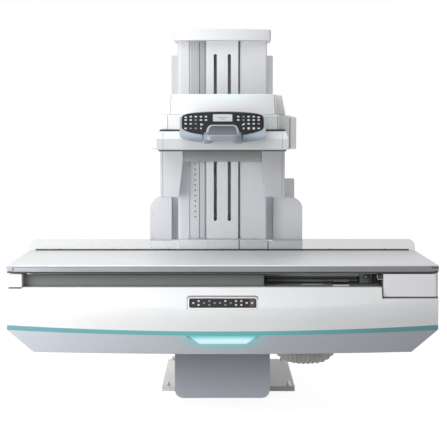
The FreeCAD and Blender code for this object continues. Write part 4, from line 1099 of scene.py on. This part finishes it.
class XRAY_OT_head(bpy.types.Operator):
    """Dresses the imaging head: tray, shoulder, housing, side units, skirts and crossbar"""

    bl_idname = "xray.head"
    bl_label = "Imaging head"

    def execute(self, context):
        cover, sheet = sizes().cover_edge, sizes().sheet_edge
        dress("head_tray", cover, "white_tray")
        dress("film_slot", sheet * 0.3)
        dress("head_shoulder", cover * 1.5)
        dress("head_housing", cover * 2, "white_housing")
        dress_all(cover * 2, "head_cheeks", "head_ears", look="white_side")
        dress("head_skirts", sheet * 2, "skirt_grey")
        dress("head_crossbar", sheet, "crossbar_grey")
        dress("lift_truck", sheet * 0.7)
        self.seams()
        self.underside()
        return {"FINISHED"}

    def seams(self):
        """Dark joints on the housing, shoulder, side units and tray, and a dark strip of painted shadow
        under the tray.
        """
        lines = bmesh.new()
        for side in SIDES:
            ribbon(lines, "head_housing", (side * 263, 1597), (side * 257, 1691))
            ribbon(lines, "head_shoulder", (side * 274, 1519), (side * 274, 1588))
            for low, high in ((1422, 1472), (1476, 1506)):
                ribbon(lines, "head_tray", (side * 296, low), (side * 296, high), 0.0012)
        piece("head_seams", lines, "imaging_head", "seam_dark")
        bars("cheek_joint", "imaging_head", "hood_shade",
             [((342.6, -850.6, 1421), (347.4, -849, 1578))], FINE)
        # Painted shadow: a dark strip along the underside of the tray's front.
        bars("tray_shade", "imaging_head", "seam_dark",
             [((-318, -1079, 1411), (316, -1074, 1420.5))])
        bars("film_line", "imaging_head", "slit_dark",
             [((-312, -1047, 1511), (310, -1036, 1519))])
        bars("skirt_folds", "imaging_head", "seam_dark", [
            ((left, SKIRT_FRONT - 0.5, low), (left + 1.6, SKIRT_FRONT + 0.4, SKIRT_TOP))
            for left, low in ((-331, 1150), (329.4, 1150), (-217, 1342), (215.4, 1342))], FINE)

    def underside(self):
        """The beam window and screws under the tray, and screws on the crossbar."""
        bars("beam_frame", "imaging_head", "mast_grey",
             [((-190, -1010, TRAY_UNDER - 1.6), (190, -630, TRAY_UNDER + 0.6))], 0.001)
        bars("beam_window", "imaging_head", "cap_dark",
             [((-165, -985, TRAY_UNDER - 2.4), (165, -655, TRAY_UNDER - 1))], 0.0005)
        screws("tray_screws", "imaging_head", [
            at(x, y, TRAY_UNDER, DOWN) for x in (-300, 300) for y in (-1050, -820, -590)])
        screws("crossbar_screws", "imaging_head",
               [at(x, SKIRT_FRONT, 1352, FRONT) for x in (-190, 190)], 0.0035)


# Half width, middle height, reach above and below, how far proud, back and rounding of the rim
BODY_SHELL = (0.2115, 1.533, (0.063, 0.0135, 7.0), (0.062, 0.019, 7.0), -0.001, -1.0835, 0.005)
PAD_SHELL = (0.2015, 1.547, (0.049, 0.010, 7.0), (0.036, 0.022, 5.0), 0.0015, -1.098, 0.001)
FACE_LOW, FACE_HIGH = mm(0, -1150, 1496), mm(0, -1104, 1606)
FACE_TILT = math.atan2(FACE_HIGH.y - FACE_LOW.y, FACE_HIGH.z - FACE_LOW.z)
TUCK_DEPTH, TUCK_REACH, TUCK_SLOPE = 0.010, 0.030, 0.45
KEY_PROUD, KEY_DEPTH, KEY_ROUND = 0.0012, 0.0016, 0.0028
ARROW_X, ARROW_Z, BEZEL_Z, HOLLOW_Z = 0.1010, 1.543, 1.5065, 1.508
DISPLAY_Z, DISPLAY_FRAME, DISPLAY_GLASS = 1.5755, (0.100, 0.043), (0.094, 0.037)
DISPLAY_BARS = ((0.056, 1.5765), (0.026, 1.5690))
KEY_LINES = ((1.5815, range(5)), (1.5650, range(5)), (1.5465, range(3)), (1.5240, range(4)))
KEYS_LEFT = (-0.1815, -0.1565, -0.1320, -0.1065, -0.0820)
KEYS_RIGHT = (0.1770, 0.1525, 0.1275, 0.1030, 0.0765)
KEYS_DIM = {("left", 3, 1), ("left", 3, 2), ("left", 1, 2), ("left", 2, 2), ("right", 1, 3),
            ("right", 0, 3)}
ARROWS = {-1: [(-0.008, -0.007), (0.008, 0.0), (-0.008, 0.007)],
          1: [(-0.009, -0.004), (0.004, -0.004), (0.009, 0.007), (0.002, 0.007)]}
BEZEL = [(-0.093, -0.042), (0.093, -0.042), (0.076, 0.022), (0.062, 0.037), (-0.062, 0.037),
         (-0.076, 0.022)]
HOLLOW = [(-0.074, -0.034), (0.074, -0.034), (0.066, 0.016), (0.055, 0.027), (-0.055, 0.027),
          (-0.066, 0.016)]
GRIP_LINE = [mm(*corner) for corner in (
    (-82, -1150, 1492), (-81, -1196, 1482), (-62, -1214, 1479), (62, -1214, 1479), (81, -1196, 1482),
    (82, -1150, 1492))]


def face_y(z):
    """The console face's Y at a height: a plane that leans back, tucked in below the keypad."""
    if z >= FACE_LOW.z:
        share = (z - FACE_LOW.z) / (FACE_HIGH.z - FACE_LOW.z)
        return FACE_LOW.y + share * (FACE_HIGH.y - FACE_LOW.y)
    drop = FACE_LOW.z - z
    return FACE_LOW.y - TUCK_DEPTH * math.sin(min(1.0, drop / TUCK_REACH) * math.pi) + drop * TUCK_SLOPE


def face_place(x, z, proud=0.0):
    """A place on the console's face, its Z pointing out of it."""
    turn = Matrix.Rotation(-FACE_TILT, 4, "X") @ FRONT
    return Matrix.Translation((x, face_y(z), z)) @ turn @ Matrix.Translation((0, 0, proud))


def bulge(x, half, power):
    """Height share of a rounded outline at a place along it."""
    return max(0.0, 1 - abs(x / half) ** power) ** (1 / power)


def notch(x, half=0.056, rise=0.0125, soft=0.008):
    """How far the console's lower edge is cut up between the grip's feet."""
    return rise * min(1, max(0, (half - abs(x)) / soft))


def face_shell(bm, half, middle, above, below, proud, back, rim, columns=84, rows=18):
    """A rounded shell that follows the console's face, from a front proud of it to its back.

    above and below each give the outline's reach at the ends, its further arch at the middle and
    the power of its rounding.
    """
    front = []
    for column in range(columns + 1):
        x = -half * math.cos(math.pi * column / columns)
        arch = 1 - (x / half) ** 2
        top = middle + (above[0] + above[1] * arch) * bulge(x, half, above[2])
        low = middle - (below[0] + below[1] * arch) * bulge(x, half, below[2]) + notch(x)
        line = []
        for row in range(rows + 1):
            z = low + (top - low) * row / rows
            line.append(bm.verts.new((x, face_y(z) - proud, z)))
        front.append(line)
    for near, far in zip(front, front[1:]):
        for row in range(rows):
            bm.faces.new((near[row], far[row], far[row + 1], near[row + 1]))
    bmesh.ops.remove_doubles(bm, verts=bm.verts, dist=0.00005)
    out = bmesh.ops.extrude_edge_only(bm, edges=[item for item in bm.edges if item.is_boundary])["geom"]
    for item in out:
        if isinstance(item, bmesh.types.BMVert):
            item.co.y = back
    bmesh.ops.contextual_create(bm, geom=[item for item in out if isinstance(item, bmesh.types.BMEdge)])
    bmesh.ops.recalc_face_normals(bm, faces=bm.faces)
    ring = [item for item in bm.edges if len(item.link_faces) == 2 and item.calc_face_angle(0) > 0.9
            and max(vert.co.y for vert in item.verts) < back - 0.001]
    bevel(bm, ring, rim, 4)


class XRAY_OT_console(bpy.types.Operator):
    """Makes the head's console: rounded body, key panel with its keys and display, and grip"""

    bl_idname = "xray.console"
    bl_label = "Console"

    def execute(self, context):
        for node, look, shape in (("console_body", "console_blue", BODY_SHELL),
                                  ("console_keypad", "keypad_black", PAD_SHELL)):
            bm = bmesh.new()
            face_shell(bm, *shape)
            piece(node + "_skin", bm, "imaging_head", look, [node])
        self.keys()
        self.display()
        self.grip()
        return {"FINISHED"}

    def keys(self):
        """Pale keys in two groups of five columns; the lower rows give way to the grip."""
        groups = {kind: bmesh.new() for kind in ("pale", "dim", "red")}
        for side, places in (("left", KEYS_LEFT), ("right", KEYS_RIGHT)):
            for line, (z, columns) in enumerate(KEY_LINES):
                for column in columns:
                    key = (side, line, column)
                    kind = "red" if key == ("right", 2, 0) else "dim" if key in KEYS_DIM else "pale"
                    width, height = sizes().key_width, sizes().key_height
                    if key in (("right", 3, 1), ("right", 3, 2)):
                        height *= 1.5
                    if key[1:] == (3, 3):
                        width *= 0.75
                    drop = 0.003 if key[1:] == (0, 0) else 0.0
                    add_plate(groups[kind], rectangle(width, height), KEY_DEPTH,
                              face_place(places[column], z - drop, KEY_PROUD), KEY_ROUND, 0.0005, 3)
        for side, arrow in ARROWS.items():
            add_plate(groups["pale"], arrow, KEY_DEPTH, face_place(side * ARROW_X, ARROW_Z, KEY_PROUD),
                      0.001, 0.0004, 3)
        for kind, bm in groups.items():
            piece(f"console_keys_{kind}", bm, "imaging_head", "key_" + kind)

    def display(self):
        """A framed display with two plain bars on it."""
        plate("display_frame", "imaging_head", "keypad_black", "cap_dark", rectangle(*DISPLAY_FRAME),
              0.0022, face_place(0, DISPLAY_Z, 0.0008), 0.003, 0.0006)
        plate("display_glass", "imaging_head", "keypad_black", "display_pale", rectangle(*DISPLAY_GLASS),
              0.0006, face_place(0, DISPLAY_Z, 0.0028), 0.0015)
        marks = bmesh.new()
        for width, z in DISPLAY_BARS:
            add_plate(marks, rectangle(width, 0.0024), 0.0003, face_place(0, z, 0.0033))
        piece("display_marks", marks, "imaging_head", "display_mark")

    def grip(self):
        """A trapezoid bezel round a dark recess and a loop handle with two feet in front of it."""
        plate("grip_bezel", "imaging_head", "console_blue", "console_blue", BEZEL, 0.011,
              face_place(0, BEZEL_Z, -0.002), 0.010, 0.004, replaces=["console_grip"])
        plate("grip_recess", "imaging_head", "console_blue", "grip_shade", HOLLOW, 0.0012,
              face_place(0, HOLLOW_Z, 0.0085), 0.008)
        loop, feet, gaps = bmesh.new(), bmesh.new(), bmesh.new()
        self.loop(loop)
        for side in SIDES:
            add_box(feet, mm(side * 76 - 18, -1190, 1450), mm(side * 76 + 18, -1130, 1476), 0.006,
                    segments=3)
            slant = Matrix.Rotation(-side * math.radians(11), 4, "Z")
            add_box(gaps, (-0.0014, -0.040, 0), (0.0014, 0.034, 0.0016), 0.0004,
                    face_place(side * 0.0985, 1.4900, 0.0004) @ slant)
        piece("grip_loop", loop, "imaging_head", "grip_blue")
        piece("grip_feet", feet, "imaging_head", "grip_blue")
        piece("grip_gaps", gaps, "imaging_head", "socket_dark")

    def loop(self, bm, across=0.0115, high=0.0150, sides=32, steps=8):
        """A rounded bar that comes out of the bezel, runs across and goes back in."""
        line = [GRIP_LINE[0]]
        for before, corner, after in zip(GRIP_LINE, GRIP_LINE[1:], GRIP_LINE[2:]):
            reach = 0.45 * min((before - corner).length, (after - corner).length)
            one = corner + (before - corner).normalized() * reach
            two = corner + (after - corner).normalized() * reach
            for share in (step / steps for step in range(steps + 1)):
                line.append(one.lerp(corner, share).lerp(corner.lerp(two, share), share))
        line.append(GRIP_LINE[-1])
        rings = []
        for number, point in enumerate(line):
            ahead = heading(line, number)
            side = ahead.cross(Vector((0, 0, 1))).normalized()
            up = side.cross(ahead)
            ring = []
            for turn in turns(sides):
                one, two = math.cos(turn), math.sin(turn)
                spread = (abs(one) ** 4 + abs(two) ** 4) ** -0.25
                ring.append(point + side * one * spread * across + up * two * spread * high)
            rings.append(ring)
        loft(bm, rings)


class XRAY_OT_cassette(bpy.types.Operator):
    """Dresses the cassette unit in the slot and its pull-out tray"""

    bl_idname = "xray.cassette"
    bl_label = "Cassette unit"

    def execute(self, context):
        sheet = sizes().sheet_edge
        dress("bucky_frame", sheet * 0.7)
        dress("cassette_tray", sheet * 0.7, "slot_grey")
        self.unit()
        self.tray()
        return {"FINISHED"}

    def unit(self):
        """The unit's face plate with its knob, ribs and screws, and the bar over the tray."""
        bars("unit_plate", "bucky", "slot_grey",
             [((696, UNIT_FRONT, 742), (760, UNIT_FRONT + 2, 798))], 0.001)
        knob = [at(727, UNIT_FRONT + 0.5, 773, FRONT)]
        discs("unit_knob", "bucky", "cap_dark", 0.0135, 0.010, knob, 40, 0.002)
        discs("unit_knob_cap", "bucky", "slot_grey", 0.0085, 0.0115, knob, 32, 0.001)
        bars("unit_bar", "bucky", "deck_grey",
             [((214, UNIT_FRONT - 0.1, 775), (694, UNIT_FRONT + 2.5, 789))], 0.001)
        bars("unit_ribs", "bucky", "cap_dark", [
            ((x, UNIT_FRONT - 1.5, 744), (x + 2.4, UNIT_FRONT + 1.5, 797)) for x in range(742, 761, 5)])
        screws("unit_screws", "bucky", [
            at(x, UNIT_FRONT, z, FRONT) for x in (703, 753) for z in (748, 792)], 0.0028)

    def tray(self):
        """The tray's handle, lips and grips, and a dark strip of painted shade on its front under the
        unit's mouth.
        """
        for name, look, width, boxes in (
                # The mouth_shade strip is painted shade on the tray's front under the unit's mouth.
                ("mouth_shade", "slit_dark", 0.0004, [((223, -981.8, 761), (683, -979, 771.5))]),
                ("tray_handle", "cap_dark", 0.0008, [((552, -1070, 741.4), (630, -979, 744))]),
                ("tray_lip", "white_side", 0.0012, [((550, -1090, 741), (632, -1066, 747)),
                                                    ((398, -1034, 741), (507, -1012, 744))]),
                ("tray_grips", "rail_grey", 0.0015, [((394, -960, 744), (512, -956.4, 755)),
                                                     ((292, -958.6, 743), (334, -956.4, 749))])):
            bars(name, "cassette_tray", look, boxes, width)


def seen(tree):
    """1 for rays from the camera and for those that a glossy or clear surface sends on, else 0."""
    path = tree.nodes.new("ShaderNodeLightPath")
    value = path.outputs["Is Camera Ray"]
    for name in ("Is Glossy Ray", "Is Transmission Ray"):
        larger = tree.nodes.new("ShaderNodeMath")
        larger.operation = "MAXIMUM"
        tree.links.new(value, larger.inputs[0])
        tree.links.new(path.outputs[name], larger.inputs[1])
        value = larger.outputs[0]
    return value


CAMERA_SPOT = (-0.013, -7.572, 1.53)
CAMERA_PITCH = math.radians(90 - 4.203)
CAMERA_YAW = math.radians(-0.153)
SENSOR, CLIP_END, FLOOR_SIZE = 36, 200, 160
LIGHT_AIM = Vector((0.0, -0.7, 0.8))
# Place and size of each light, by the name of its power
LIGHTS = {"key": ((-2.4, -3.1, 1.3), 1.8), "top": ((-1.0, -2.2, 4.0), 2.6)}


class XRAY_OT_stage(bpy.types.Operator):
    """Sets up the pale floor, the soft studio light and the camera"""

    bl_idname = "xray.stage"
    bl_label = "Stage"

    def execute(self, context):
        self.floor()
        self.room(context)
        for name, (spot, size) in LIGHTS.items():
            self.light(name + "_light", Vector(spot), size, getattr(context.scene.xray_stage, name))
        self.camera(context)
        context.scene.view_settings.view_transform = "Standard"
        return {"FINISHED"}

    def floor(self):
        """A wide pale floor, seen as brighter than it lights the object, with the object's shadow."""
        bpy.ops.mesh.primitive_plane_add(size=FLOOR_SIZE)
        floor = bpy.context.object
        floor.name = "floor"
        surface = Surface("floor_pale", (0.80, 0.80, 0.80), 0.9)
        surface.glow((1.0, 1.0, 1.0), surface.product(seen(surface.tree), FLOOR_LIFT))
        surface.shader.inputs["Specular IOR Level"].default_value = 0.0
        floor.data.materials.append(surface.material)
        floor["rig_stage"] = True

    def room(self, context):
        """An even room: lights at its strength and is white where the camera looks past the object."""
        world = bpy.data.worlds.new("room")
        context.scene.world = world
        world.use_nodes = True
        tree = world.node_tree
        back = tree.nodes["Background"]
        mix = tree.nodes.new("ShaderNodeMix")
        mix.inputs[2].default_value = context.scene.xray_stage.room
        mix.inputs[3].default_value = 1.0
        tree.links.new(seen(tree), mix.inputs[0])
        tree.links.new(mix.outputs[0], back.inputs["Strength"])
        back.inputs["Color"].default_value = (1, 1, 1, 1)

    def light(self, name, spot, size, power):
        """A square soft light at a spot, aimed at the table."""
        data = bpy.data.lights.new(name, "AREA")
        data.shape, data.size, data.energy = "SQUARE", size, power
        obj = bpy.data.objects.new(name, data)
        bpy.context.scene.collection.objects.link(obj)
        obj.location = spot
        obj.rotation_euler = (LIGHT_AIM - spot).to_track_quat("-Z", "Y").to_euler()

    def camera(self, context):
        """The camera in front of the table, a little above it and turned down."""
        data = bpy.data.cameras.new("camera")
        data.lens = context.scene.xray_stage.lens
        data.sensor_width = SENSOR
        data.clip_end = CLIP_END
        camera = bpy.data.objects.new("camera", data)
        context.scene.collection.objects.link(camera)
        camera.location = CAMERA_SPOT
        camera.rotation_euler = (CAMERA_PITCH, 0, CAMERA_YAW)
        context.scene.camera = camera


OPERATORS = (XRAY_OT_stand, XRAY_OT_tilt, XRAY_OT_covers, XRAY_OT_lamps, XRAY_OT_strip, XRAY_OT_sleeve,
             XRAY_OT_tabletop, XRAY_OT_tower, XRAY_OT_head, XRAY_OT_console, XRAY_OT_cassette,
             XRAY_OT_stage)
GROUPS = (XRAY_PG_colours, XRAY_PG_sizes, XRAY_PG_stage)


class XRAY_PT_panel(bpy.types.Panel):
    """Sizes, colours and steps in the sidebar"""

    bl_idname = "XRAY_PT_panel"
    bl_label = "X-ray table"
    bl_space_type = "VIEW_3D"
    bl_region_type = "UI"
    bl_category = "X-ray table"

    def draw(self, context):
        for owner in (context.scene.xray_colours, context.scene.xray_sizes, context.scene.xray_stage):
            box = self.layout.box()
            for name in owner.bl_rna.properties.keys():
                if name not in ("rna_type", "name"):
                    box.prop(owner, name)
        for operator in OPERATORS:
            self.layout.operator(operator.bl_idname)


def register():
    """Registers the classes and puts the settings on the scene."""
    for item in (*GROUPS, *OPERATORS, XRAY_PT_panel):
        bpy.utils.register_class(item)
    bpy.types.Scene.xray_colours = PointerProperty(type=XRAY_PG_colours)
    bpy.types.Scene.xray_sizes = PointerProperty(type=XRAY_PG_sizes)
    bpy.types.Scene.xray_stage = PointerProperty(type=XRAY_PG_stage)


def unregister():
    """Takes the settings and the classes away."""
    for name in ("xray_colours", "xray_sizes", "xray_stage"):
        delattr(bpy.types.Scene, name)
    for item in reversed((*GROUPS, *OPERATORS, XRAY_PT_panel)):
        bpy.utils.unregister_class(item)


def corners():
    """The lowest and highest corner of what is shown, as plain lists."""
    return [[float(part) for part in corner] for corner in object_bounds()]


def main():
    """Builds the whole look."""
    register()
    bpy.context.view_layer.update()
    for operator in OPERATORS:
        family, name = operator.bl_idname.split(".")
        getattr(getattr(bpy.ops, family), name)()


if __name__ == "__main__":
    main()
